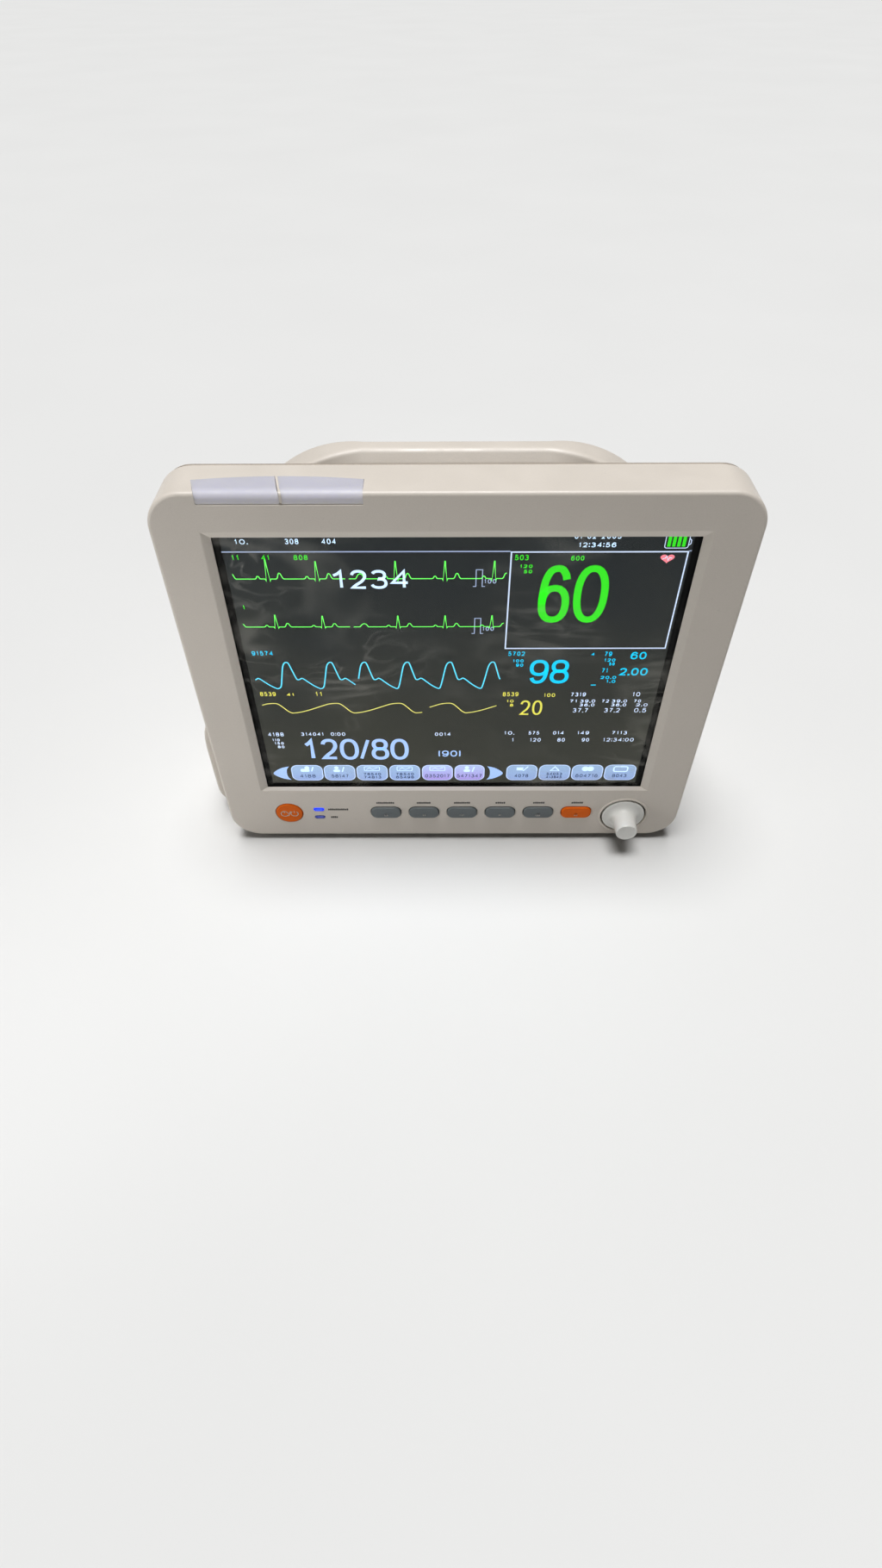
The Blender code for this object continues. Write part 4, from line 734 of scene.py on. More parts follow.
def cap_rings(outline_of, proud, deepest, crown=0.3):
    """Rings of a button with a gently crowned face and a rounded edge."""
    rings = []
    for share in (1.0, 0.8, 0.55, 0.3):
        rings.append((-proud + crown * (1 - share) ** 2, outline_of(-1.0 - share * deepest)))
    for setback, inset in quarter(1.0, 6, start=12):
        rings.append((-proud + crown * 0.55 + setback * 0.9, outline_of(-inset)))
    rings.append((3.0, outline_of(0)))
    return rings


def ribbon(bm, points, width, y, closed=False):
    """Flat line of even width along points (x, z), facing the viewer."""
    points = [Vector(point) for point in points]
    count = len(points)
    pairs = []
    for index, point in enumerate(points):
        before = points[index - 1] if index or closed else None
        after = points[(index + 1) % count] if index < count - 1 or closed else None
        into = (point - before).normalized() if before else (after - point).normalized()
        out = (after - point).normalized() if after else into
        along = into + out
        along = along.normalized() if along.length > 1e-6 else out
        across = Vector((-along.y, along.x))
        scale = min(2.0, 1 / max(0.3, across.dot(Vector((-out.y, out.x)))))
        offset = across * width / 2 * scale
        pairs.append([bm.verts.new((q.x, y, q.y)) for q in (point + offset, point - offset)])
    last = count if closed else count - 1
    for index in range(last):
        first, second = pairs[index], pairs[(index + 1) % count]
        bm.faces.new((first[0], first[1], second[1], second[0]))


def patch(bm, outline, y):
    bm.faces.new([bm.verts.new((x, y, z)) for x, z in outline])


def settle_print(name, bm, depth, body, material, slot):
    """Turns flat shapes facing the viewer into thin solid ones and settles them."""
    made = bmesh.ops.extrude_face_region(bm, geom=list(bm.faces))
    moved = [item for item in made["geom"] if isinstance(item, bmesh.types.BMVert)]
    bmesh.ops.translate(bm, verts=moved, vec=(0, -depth, 0))
    settle(new_object(name, bm), body, material, weighted=False, slot=slot)


def key_sign(bm, index, x, z, y):
    """Plain pictograms: bell, two bars, wave, triangle, sheet, bell."""
    if index in (0, 5):
        foot = z - 0.9
        ribbon(bm, [(x - 1.3, foot), (x + 1.3, foot)], 0.35, y)
        ribbon(bm, [(x - 0.9, foot)] + arc((x, z + 0.2), 0.9, 180, 0) + [(x + 0.9, foot)],
               0.32, y)
        ribbon(bm, [(x, z + 1.05), (x, z + 1.5)], 0.35, y)
    elif index == 1:
        for side in (-0.6, 0.6):
            ribbon(bm, [(x + side, z - 1.0), (x + side, z + 1.0)], 0.45, y)
    elif index == 2:
        wave = [(-1.8, 0), (-0.8, 0), (-0.4, 1.2), (0.1, -1.0), (0.5, 0.4), (0.8, 0), (1.8, 0)]
        ribbon(bm, [(x + dx, z + dz) for dx, dz in wave], 0.32, y)
    elif index == 3:
        patch(bm, [(x - 0.9, z - 1.0), (x + 1.2, z), (x - 0.9, z + 1.0)], y)
    else:
        ribbon(bm, rounded_rectangle(1.4, z - 1.1, z + 1.1, 0.4, 3, x), 0.3, y, closed=True)
        for row in (z + 0.2, z - 0.4):
            ribbon(bm, [(x - 0.7, row), (x + 0.7, row)], 0.28, y)


def blocks(bm, left, right, low, high, y, glyph=1.25):
    """A printed caption without letters: a row of small upright blocks."""
    count = max(1, round((right - left) / glyph))
    pitch = (right - left) / count
    for index in range(count):
        x = left + pitch * index
        tall = high if index % 3 else high - (high - low) * 0.12
        patch(bm, [(x, low), (x + pitch * 0.8, low), (x + pitch * 0.8, tall), (x, tall)], y)


def build_controls():
    captions = bmesh.new()
    half_widths = (6.2, 4.8, 5.6, 3.4, 4.0, 4.0)
    for index, x in enumerate(KEY_XS):
        name = f"key_{index + 1}"
        rings = cap_rings(lambda grow, x=x: key_outline(x, grow), 1.5, 3.0)
        cap = loft(name + "_cap", rings)
        material = ORANGE if index == 5 else KEY
        settle(cap, name + "_body", material, name, sharp=50)
        bm = bmesh.new()
        key_sign(bm, index, x, KEY_Z - 1.4, -1.47)
        settle_print(name + "_sign", bm, 0.03, name + "_body", PALE_PRINT, material.name)
        half = half_widths[index]
        blocks(captions, x - half, x + half, 37.3, 39.0, -0.01)
    blocks(captions, -87.2, -73.0, 30.5, 32.3, -0.01)
    blocks(captions, -86.0, -81.0, 22.5, 24.3, -0.01)
    settle_print("front_captions", captions, 0.03, "monitor_body", PRINT, "casing_plastic")

    def round_cap(grow):
        return circle(9.25 + grow, POWER, 72)

    button = loft("power_cap", cap_rings(round_cap, 0.7, 7.0, 0.2))
    settle(button, "power_button_body", ORANGE, "power_button", sharp=50)
    bm = bmesh.new()
    x, z = POWER
    for points, width in (
            (arc((x - 3.3, z - 0.1), 2.5, 0, 330, 24), 0.62),
            ([(x - 3.3, z + 0.5), (x - 3.3, z + 2.0)], 0.55),
            ([(x - 0.9, z - 2.4), (x + 1.1, z + 2.6)], 0.62),
            (arc((x + 3.6, z + 0.1), 2.5, 125, 415, 24), 0.62),
            ([(x + 3.6, z + 0.9), (x + 3.6, z + 3.0)], 0.55)):
        ribbon(bm, points, width, -0.69)
    settle_print("power_sign", bm, 0.04, "power_button_body", PALE_PRINT, "button_orange")

    pipes = (("power_light_pipe", POWER_LAMP), ("mains_light_pipe", MAINS_LAMP))
    for (name, material), z in zip(pipes, LIGHT_ZS):
        rings = [(-0.2 + s, light_outline(z, -inset)) for s, inset in quarter(0.4, 4, 12)]
        pipe = loft(name + "_lens", rings + [(8.0, light_outline(z, 0))])
        settle(pipe, "monitor_body", material, name, slot="indicator_blue", sharp=50)


def build_knob():
    tip = [(0, -15.75), (3.0, -15.78), (5.6, -15.92), (6.2, -16.05)]
    rim = [(6.2, -16.05), (6.6, -16.3), (7.05, -16.1), (7.25, -15.4)]
    stem = [(7.25, -15.4), (7.55, -11.0), (7.95, -7.0), (8.5, -4.0), (9.6, -2.3),
            (11.2, -1.35), (13.2, -1.0), (14.0, -0.85)]
    edge = [(14.0, -0.85), (14.5, -0.55), (14.7, 0.1), (14.7, 2.0)]
    profile = tip + smooth_path(rim, 4)[1:] + smooth_path(stem, 5)[1:]
    profile += smooth_path(edge[:3], 4)[1:] + [edge[3], (3.1, 2.0), (3.1, -9.3), (0, -9.3)]
    knob = lathe("knob_turned", profile, centre=KNOB, steps=96)
    settle(knob, "knob_body", KNOB_WHITE, "rotary_knob", sharp=45, weighted=False)


# ---- display ----

INK_Y = 4.32
SCREEN = {}


def sheet_of(colour):
    return SCREEN.setdefault(colour, bmesh.new())


def oval(centre, reach, start=0.0, end=360.0, steps=20, power=2.3):
    """Points round a squarish oval, anticlockwise from start to end degrees."""
    points = []
    for step in range(steps + 1):
        angle = math.radians(start + (end - start) * step / steps)
        cos, sin = math.cos(angle), math.sin(angle)
        points.append((
            centre[0] + reach[0] * math.copysign(abs(cos) ** (2 / power), cos),
            centre[1] + reach[1] * math.copysign(abs(sin) ** (2 / power), sin)))
    return points


def glyph(sign):
    """Strokes of a numeral in a unit box, each as (points, closed)."""
    hook = [(0.95, 0.79)] + smooth_path(
        [(0.90, 0.88), (0.74, 0.98), (0.52, 1.0), (0.27, 0.95), (0.09, 0.78), (0.01, 0.52),
         (0.0, 0.33)], 3)
    six = [(hook, False), (oval((0.5, 0.315), (0.5, 0.315))[:-1], True)]
    strokes = {
        "0": [(oval((0.5, 0.5), (0.5, 0.5), steps=28)[:-1], True)],
        "1": [([(0.12, 0.74), (0.42, 0.84), (0.66, 1.0), (0.66, 0.0)], False)],
        "2": [(oval((0.5, 0.72), (0.48, 0.28), 172, -8, 12) + smooth_path(
            [(0.93, 0.58), (0.72, 0.38), (0.36, 0.2), (0.03, 0.0)], 3) + [(1.0, 0.0)], False)],
        "3": [(oval((0.48, 0.76), (0.43, 0.24), 160, -85, 12)
               + oval((0.48, 0.27), (0.5, 0.27), 85, -165, 14), False)],
        "4": [([(0.76, 0.0), (0.76, 1.0), (0.0, 0.3), (1.0, 0.3)], False)],
        "5": [([(0.92, 1.0), (0.2, 1.0), (0.09, 0.5)]
               + oval((0.47, 0.33), (0.5, 0.32), 130, -160, 14), False)],
        "6": six,
        "7": [(smooth_path([(0.95, 1.0), (0.62, 0.6), (0.42, 0.25), (0.36, 0.0)], 3), False),
              ([(0.0, 1.0), (0.97, 1.0)], False)],
        "8": [(oval((0.5, 0.76), (0.44, 0.24))[:-1], True),
              (oval((0.5, 0.27), (0.5, 0.27))[:-1], True)],
        "9": [([(1 - u, 1 - v) for u, v in points], closed) for points, closed in six],
        "/": [([(0.0, 0.0), (1.0, 1.0)], False)],
        "-": [([(0.0, 0.5), (1.0, 0.5)], False)],
        "(": [(oval((1.0, 0.5), (0.9, 0.62), 115, 245, 8, 2.0), False)],
        ")": [(oval((0.0, 0.5), (0.9, 0.62), 65, -65, 8, 2.0), False)],
    }
    return strokes[sign]


GLYPH_WIDTHS = {"1": 0.62, "/": 0.62, ".": 0.16, ":": 0.16, "(": 0.3, ")": 0.3, "-": 0.6}


def write(colour, text, left, right, low, high, weight=0.58, y=INK_Y):
    """Plain numerals of even stroke weight that fill a box."""
    gap = 0.3 if weight < 1 else 0.2
    total = sum(GLYPH_WIDTHS.get(sign, 1.0) for sign in text) + gap * (len(text) - 1)
    unit = (right - left) / total
    x = left
    for index, sign in enumerate(text):
        wide = unit * GLYPH_WIDTHS.get(sign, 1.0)
        if sign in ".:":
            middle, side = x + wide / 2, 0.6 * weight
            for height in (0.0, 0.55)[:1 + ".:".index(sign)]:
                foot = low + height * (high - low) + (0.4 if sign == ":" else 0.0) * weight
                patch(sheet_of(colour), rectangle(side, foot, foot + 2 * side, middle), y)
            x += wide + unit * gap
            continue
        for points, closed in glyph(sign):
            placed = [(x + weight / 2 + u * max(wide - weight, 0.0),
                       low + weight / 2 + v * (high - low - weight)) for u, v in points]
            ribbon(sheet_of(colour), placed, weight, y - 0.002 * (index % 2), closed)
        x += wide + unit * gap


def line(colour, points, width, y=INK_Y, closed=False):
    ribbon(sheet_of(colour), points, width, y, closed)


def beat(x, base, peak):
    """One heartbeat with its P, QRS and T waves, as points (x, z)."""
    lift = (peak - base) / 10.5
    shape = ((-7.0, 0), (-6.3, 0.4), (-5.9, 1.3), (-5.4, 1.6), (-4.9, 1.3), (-4.3, 0.1),
             (-1.4, 0), (-1.1, -1.3), (-0.12, 10.5), (0.12, 10.5), (1.0, -1.4), (1.4, 0),
             (4.4, 0), (5.0, 0.5), (5.8, 2.8), (6.3, 3.3), (6.9, 3.0), (7.9, 0.6), (8.5, 0))
    return [(x + dx, base + dz * lift) for dx, dz in shape]


PULSE = ((-7.0, 0), (-5.6, 1.6), (-4.3, 7.5), (-2.6, 16.2), (-1.3, 19.2), (0, 19.9),
         (1.2, 19.0), (2.8, 13.4), (4.4, 7.9), (5.3, 6.9), (6.4, 7.1), (7.6, 7.9), (9.0, 7.2),
         (11.4, 4.9), (14.2, 2.4), (17.0, 0.5), (18.6, 0))
BREATH = ((0, 0), (4.5, 0.7), (10.5, 2.6), (17.0, 5.2), (22.5, 7.3), (27.0, 7.9), (29.6, 7.4),
          (32.2, 5.0), (35.0, 1.8), (37.0, 0.3))


def sweep(colour, shape, base, places, left, right, width):
    """A wave repeated at some places, each starting after the last has ended."""
    points = []
    for x in places:
        points += [(x + dx, base + dz) for dx, dz in shape
                   if not points or x + dx > points[-1][0] + 0.6]
    line(colour, [p for p in smooth_path(points, 4) if left <= p[0] <= right], width)


def draw_traces():
    for base, peak, width in ((212.9, 223.4, 0.58), (181.7, 189.0, 0.54)):
        lift = (peak - base) / 10.5
        first = [(-119.6, base + 3.0 * lift), (-118.6, base + 0.3 * lift), (-118.2, base)]
        line("trace_green", first + beat(-101.0, base, peak + lift)
             + beat(-74.6, base, peak) + [(-59.6, base)], width)
        second = [(-57.6, base), (-54.0, base), (-52.6, base + 2.5 * lift),
                  (-51.5, base + 3.2 * lift), (-50.4, base + 2.6 * lift), (-49.2, base)]
        for x in (-32.4, -6.0):
            second += beat(x, base, peak)
        second += [point for point in beat(20.2, base, peak) if point[0] < 26.8]
        line("trace_green", second + [(27.0, base + 3.2 * lift)], width)
    for low, high in ((208.0, 218.3), (177.0, 187.3)):
        line("lavender", [(9, low), (10.6, low), (10.6, high), (14.0, high), (14.0, low),
                          (15.6, low)], 0.55)
        write("lavender", "100", 15.0, 21.6, low + 1.8, low + 4.6)
    sweep("trace_cyan", PULSE, 136.6, (-125.4, -99.3, -73.4), -119.6, -59.4, 0.85)
    sweep("trace_cyan", PULSE, 136.6, (-53.4, -28.2, -3.1, 22.0), -57.8, 27.0, 0.85)
    sweep("trace_yellow", BREATH, 116.9, (-138.6, -100.2, -61.8, -23.4), -119.6, -19.2, 0.7)
    sweep("trace_yellow", BREATH, 116.9, (-31.0, 7.2), -16.6, 27.0, 0.7)


# Small numerals by colour: text, left, right, low and high edge.
WORDS = {
    "white": (
        ("10.", -115.2, -108.2, 233.6, 236.6), ("308", -89, -81.8, 233.6, 236.8),
        ("404", -69.9, -62.4, 233.6, 236.8), ("01-02-2003", 60.6, 84.8, 236.3, 239.6),
        ("12:34:56", 63.2, 82.8, 231.4, 234.3)),
    "green": (
        ("11", -118.4, -114.2, 224.3, 227.4), ("41", -102.6, -98.2, 224.3, 227.4),
        ("808", -85.6, -78.2, 224.3, 227.4), ("1", -118, -116.6, 193.4, 196.2),
        ("503", 30.6, 38, 223.9, 227.2), ("600", 60.2, 67.2, 223.6, 226.6),
        ("120", 33.6, 40.4, 219.2, 221.4), ("50", 35.8, 40.4, 216.0, 218.3)),
    "cyan": (
        ("91574", -118.4, -106, 161.6, 164.8), ("5702", 30.6, 40.4, 161, 164.2),
        ("4", 78.9, 81, 161, 163.2), ("100", 33.6, 40, 156.2, 158.5),
        ("90", 35.6, 40, 153, 155.4), ("79", 86.6, 91, 160.6, 164),
        ("120", 87, 93.6, 156.6, 159), ("50", 90.2, 93.6, 153.8, 156.2),
        ("71", 86.6, 90.4, 148.4, 151.8), ("20.0", 86.6, 96, 143.6, 146),
        ("1.0", 90.4, 96, 140.6, 143)),
    "yellow": (
        ("8539", -118.6, -109, 130.6, 134), ("41", -102.4, -97.8, 130.6, 133),
        ("11", -85, -80.6, 130.6, 134), ("8539", 29, 38.6, 130.2, 133.6),
        ("10", 31.6, 36, 125.2, 127.5), ("8", 33.8, 36, 121.9, 124.3),
        ("100", 54, 61, 129.6, 132.6)),
    "pale": (
        ("4188", -119, -109, 97, 100.4), ("110", -117, -112.2, 92.6, 95),
        ("150", -116, -110, 89.6, 92), ("80", -114.4, -110, 86.4, 88.8),
        ("314041", -98, -83.4, 97.4, 100.4), ("0:00", -79, -69.6, 97.4, 100.4),
        ("0014", -12.6, -2.4, 97.2, 100.2), ("7319", 70.4, 79.6, 130, 133.2),
        ("10", 107.8, 112.6, 130, 133.4), ("71", 70.4, 75, 125, 127.6),
        ("39.0", 76.6, 86, 125, 127.6), ("36.0", 76.6, 86, 121.9, 124.4),
        ("72", 89.9, 94.5, 125, 127.6), ("39.0", 96, 105.5, 125, 127.6),
        ("36.0", 96, 105.5, 121.9, 124.4), ("70", 109.6, 114, 125, 127.6),
        ("2.0", 111.4, 118.6, 121.9, 124.4), ("37.7", 73, 82.6, 117, 120.6),
        ("37.2", 92.4, 102.2, 117, 120.6), ("0.5", 111, 118.6, 117, 120.6),
        ("10.", 31.4, 38, 98.2, 101.2), ("575", 47, 54, 98.2, 101.2),
        ("014", 62.6, 69.6, 98.2, 101.2), ("149", 78, 85.6, 98.2, 101.2),
        ("7113", 100, 109.8, 98.2, 101.2), ("1", 36.6, 38.2, 92, 95.2),
        ("120", 48.4, 55.4, 92, 95.2), ("80", 66, 70.9, 92, 95.2),
        ("90", 81.6, 86.4, 92, 95.2), ("12:34:00", 95.2, 115, 92, 95.2)),
}
# Large numerals, each with its stroke width as well.
BIG_WORDS = {
    "green": (("6", 45.0, 62.2, 184.2, 221.0, 4.15), ("0", 64.0, 82.8, 184.2, 221.0, 4.15)),
    "cyan": (("9", 43.9, 55.2, 140.2, 158.2, 2.35), ("8", 56.2, 67.6, 140.2, 158.2, 2.35),
             ("60", 102, 111.2, 158.4, 163.8, 1.0), ("2.00", 97.2, 114, 146.3, 152, 1.1)),
    "yellow": (("20", 40.2, 54.0, 115.0, 127.0, 1.4),),
    "ice": (("1", -98.4, -88.6, 76.0, 94.6, 2.7), ("2", -86.6, -75.6, 76.2, 94.8, 2.65),
            ("0", -74.4, -62.0, 75.8, 94.8, 2.65), ("/", -61.8, -54.6, 75.8, 94.8, 2.2),
            ("8", -54.0, -42.4, 75.8, 94.8, 2.65), ("0", -41.6, -29.6, 75.8, 94.8, 2.65),
            ("(90)", -10.4, 4.2, 78.6, 84.2, 1.0)),
    "white": (("1", -67.6, -58.6, 206.6, 218.4, 1.7), ("2", -57.0, -48.0, 206.6, 218.4, 1.7),
              ("3", -46.2, -36.8, 206.6, 218.4, 1.7), ("4", -35.2, -25.2, 206.6, 218.4, 1.7)),
}


def draw_readings():
    line("lavender", [(-122.9, 229.2), (28.2, 229.2)], 0.75)
    line("lavender", [(121.2, 229.3), (122.6, 229.3)], 0.6)
    line("pale", [(28.7, 166.4), (120.9, 166.4), (120.9, 228.8), (28.7, 228.8)], 0.85,
         closed=True)
    for table, y in ((WORDS, INK_Y), (BIG_WORDS, INK_Y - 0.04)):
        for colour, words in table.items():
            for word in words:
                write(colour, *word, y=y)
    line("cyan", [(81.6, 139.0), (84.6, 139.0)], 0.8)


def draw_icons():
    line("pale", rounded_rectangle(6.1, 230.9, 238.5, 1.2, 4, 114.0), 0.5, closed=True)
    line("pale", [(120.4, 232.6), (121.2, 233.4), (121.2, 235.4), (120.4, 236.2)], 0.5)
    for index in range(4):
        patch(sheet_of("green"), rectangle(0.9, 231.7, 237.8, 110.0 + 2.55 * index), INK_Y)
    heart = []
    for step in range(36):
        t = 2 * math.pi * step / 36
        across = 16 * math.sin(t) ** 3
        up = 13 * math.cos(t) - 5 * math.cos(2 * t) - 2 * math.cos(3 * t) - math.cos(4 * t)
        heart.append((110.7 - across * 0.235, 224.9 + up * 0.185))
    patch(sheet_of("rose"), heart, INK_Y)
    line("white", [(108.2, 224.6), (109.6, 225.0), (110.3, 226.4), (111.2, 223.6),
                   (111.9, 225.4), (113.2, 225.0)], 0.4, INK_Y - 0.03)


# Soft keys: left and right edge, half width of the numerals, and the numerals.
SOFT_KEYS = (
    (-108.8, -87.6, 5.2, "4188"), (-87.0, -66.0, 5.8, "58147"),
    (-65.2, -44.3, 5.8, "78540", "74813"), (-43.3, -22.6, 6.0, "78540", "65498"),
    (-21.5, -0.8, 8.2, "0352017"), (0.2, 20.4, 8.4, "5471347"), (34.8, 55.6, 4.6, "4078"),
    (56.5, 77.6, 5.2, "54053", "413845"), (78.4, 99.4, 7.4, "604716"),
    (100.3, 121.4, 4.8, "8043"),
)


def soft_key_sign(signs, index, x, y):
    """Plain pictograms above the numerals of the soft keys."""
    if index in (2, 3, 4):
        ribbon(signs, rounded_rectangle(5.0, 65.4, 69.2, 0.6, 3, x), 0.5, y, True)
        trace = [(-3.8, 66.4), (-1.6, 68.2), (0.4, 66.6), (3.8, 68.4)]
        ribbon(signs, [(x + dx, z) for dx, z in trace], 0.5, y)
    elif index == 9:
        ribbon(signs, rounded_rectangle(4.6, 64.4, 69.0, 1.4, 5, x), 1.0, y, True)
    elif index == 8:
        patch(signs, circle(2.3, (x - 1.6, 67.0), 20), y)
        patch(signs, circle(2.3, (x + 1.8, 67.0), 20), y - 0.01)
    elif index == 7:
        ribbon(signs, [(x - 3.0, 65.0), (x, 69.0), (x + 3.0, 65.0)], 0.9, y)
        ribbon(signs, [(x - 2.0, 65.2), (x + 2.0, 65.2)], 0.5, y)
    elif index == 6:
        patch(signs, rectangle(2.2, 65.6, 68.4, x - 1.4), y)
        ribbon(signs, [(x + 0.8, 65.0), (x + 4.0, 69.2)], 0.8, y)
    elif index == 0:
        patch(signs, rounded_rectangle(3.0, 64.4, 67.2, 1.0, 4, x - 1.2), y)
        patch(signs, circle(1.6, (x + 0.2, 68.2), 20), y - 0.01)
        ribbon(signs, [(x + 3.0, 64.8), (x + 4.4, 69.0)], 0.9, y)
    else:
        patch(signs, circle(1.5, (x - 1.8, 68.2), 18), y)
        patch(signs, rounded_rectangle(2.2, 64.2, 66.6, 1.0, 4, x - 1.8), y - 0.01)
        ribbon(signs, [(x + 1.8, 64.4), (x + 3.2, 69.0)], 0.9, y)


def draw_soft_keys():
    over = INK_Y - 0.03
    for index, (left, right, reach, *texts) in enumerate(SOFT_KEYS):
        middle, half = (left + right) / 2, (right - left) / 2
        colour = "key_violet" if index in (4, 5) else "key_blue"
        patch(sheet_of(colour), rounded_rectangle(half, 56.0, 70.9, 4.6, 8, middle), INK_Y)
        line("key_edge", rounded_rectangle(half - 0.4, 56.4, 70.5, 4.2, 8, middle), 0.5,
             INK_Y - 0.02, True)
        rows = ((61.0, 63.4), (58.0, 60.4)) if len(texts) == 2 else ((58.9, 62.0),)
        for text, row in zip(texts, rows):
            write("key_ink", text, middle - reach, middle + reach, *row, 0.46, over)
        soft_key_sign(sheet_of("white"), index, middle, over)
    for tip, root in ((-120.9, -109.6), (32.6, 21.8)):
        out = tip - root
        bulge, dent, hollow = root + out * 0.55, root + out * 0.16, root + out * 0.2
        outer = smooth_path([(root, 69.6), (bulge, 67.6), (tip, 62.8), (bulge, 58.4),
                             (root, 56.6)], 6)
        inner = smooth_path([(root, 56.6), (dent, 59.5), (hollow, 63.0), (dent, 66.6),
                             (root, 69.6)], 5)
        loop = outer + inner[1:-1]
        patch(sheet_of("ice"), loop if out > 0 else loop[::-1], INK_Y)


def build_display():
    draw_traces()
    draw_readings()
    draw_icons()
    draw_soft_keys()
    colours = {
        colour: lit(name, srgb(*shown), strength) for colour, name, shown, strength in (
            ("green", "shown_green", (74, 208, 58), 0.56),
            ("cyan", "shown_cyan", (44, 192, 224), 0.56),
            ("trace_green", "trace_green", (118, 232, 108), 0.7),
            ("trace_cyan", "trace_cyan", (104, 200, 226), 0.62),
            ("trace_yellow", "trace_yellow", (208, 204, 122), 0.6),
            ("yellow", "shown_yellow", (206, 202, 104), 0.56),
            ("white", "shown_white", (196, 216, 234), 0.62),
            ("ice", "shown_ice", (164, 188, 226), 0.54),
            ("pale", "shown_pale", (192, 204, 224), 0.6),
            ("lavender", "shown_lavender", (158, 170, 194), 0.56),
            ("rose", "shown_rose", (222, 138, 148), 0.6),
            ("key_edge", "shown_key_edge", (192, 206, 232), 0.55),
            ("key_ink", "shown_key_ink", (78, 92, 132), 0.35))}
    key_heights = (57, 69)
    colours["key_blue"] = lit("shown_key_blue", srgb(154, 176, 202), 0.54,
                              srgb(150, 168, 204), key_heights)
    colours["key_violet"] = lit("shown_key_violet", srgb(172, 184, 218), 0.54,
                                srgb(166, 154, 208), key_heights)
    for colour, bm in SCREEN.items():
        for face in bm.faces:
            if face.normal.y > 0:
                face.normal_flip()
        obj = link_mesh("screen_" + colour, bm)
        obj.data.transform(PLACE)
        obj.data.materials.append(colours[colour])
        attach(obj, "monitor_body")


# ---- sides and back ----


def soften(obj, width, segments=3, angle=40):
    bevel = obj.modifiers.new("bevel", "BEVEL")
    bevel.width, bevel.segments, bevel.limit_method = width, segments, "ANGLE"
    bevel.angle_limit = math.radians(angle)
    return apply_modifiers(obj)


def build_screws():
    screws = [(f"housing_screw_{index + 1}", "Y", centre, 34.3, 20.0, 1.0)
              for index, centre in enumerate(SCREWS)]
    screws += [("handle_screw_left", "Z", (-98.0, 56.0), 219.1, 232.0, -1.0),
               ("handle_screw_right", "Z", (98.0, 56.0), 219.1, 232.0, -1.0)]
    head = ((3.1, 0.0), (3.1, 0.7), (2.95, 1.15), (2.55, 1.6), (1.9, 1.95), (1.1, 2.1), (0, 2.1))
    for name, axis, centre, seat, tip, away in screws:
        profile = [(0, tip), (0.7, tip), (1.15, tip + away), (1.15, seat)]
        profile += [(radius, seat + away * height) for radius, height in head]
        screw = lathe(name + "_head", profile, axis=axis, centre=centre, steps=32)
        cross, arm = [], [(-1.7, -0.35), (-0.45, -0.45), (-0.35, -1.7)]
        for _ in range(4):
            cross += [(centre[0] + dx, centre[1] + dy) for dx, dy in arm]
            arm = [(-dy, dx) for dx, dy in arm]
        ends = sorted((seat + away * 0.9, seat + away * 4.0))
        cut(screw, prisms("tool", [cross], *ends, axis=axis))
        settle(screw, "monitor_body", STEEL, name)


# Cable sockets: name, centre, radii of body, flange and cavity, and number of pins.
SOCKETS = (
    ("ecg_socket", (52.0, 64.0), 8.4, 10.2, 6.9, 6),
    ("spo2_socket", (50.0, 41.0), 7.0, 8.6, 5.6, 5),
    ("temperature_socket_1", (69.0, 41.0), 5.2, 6.6, 3.7, 2),
    ("temperature_socket_2", (84.0, 41.0), 5.2, 6.6, 3.7, 2),
    ("cuff_socket", (75.0, 66.0), 6.6, 8.6, 4.2, 0),
)
SOCKET_FRONT = -170.85


def set_back(*profile):
    return [(radius, SOCKET_FRONT + depth) for radius, depth in profile]


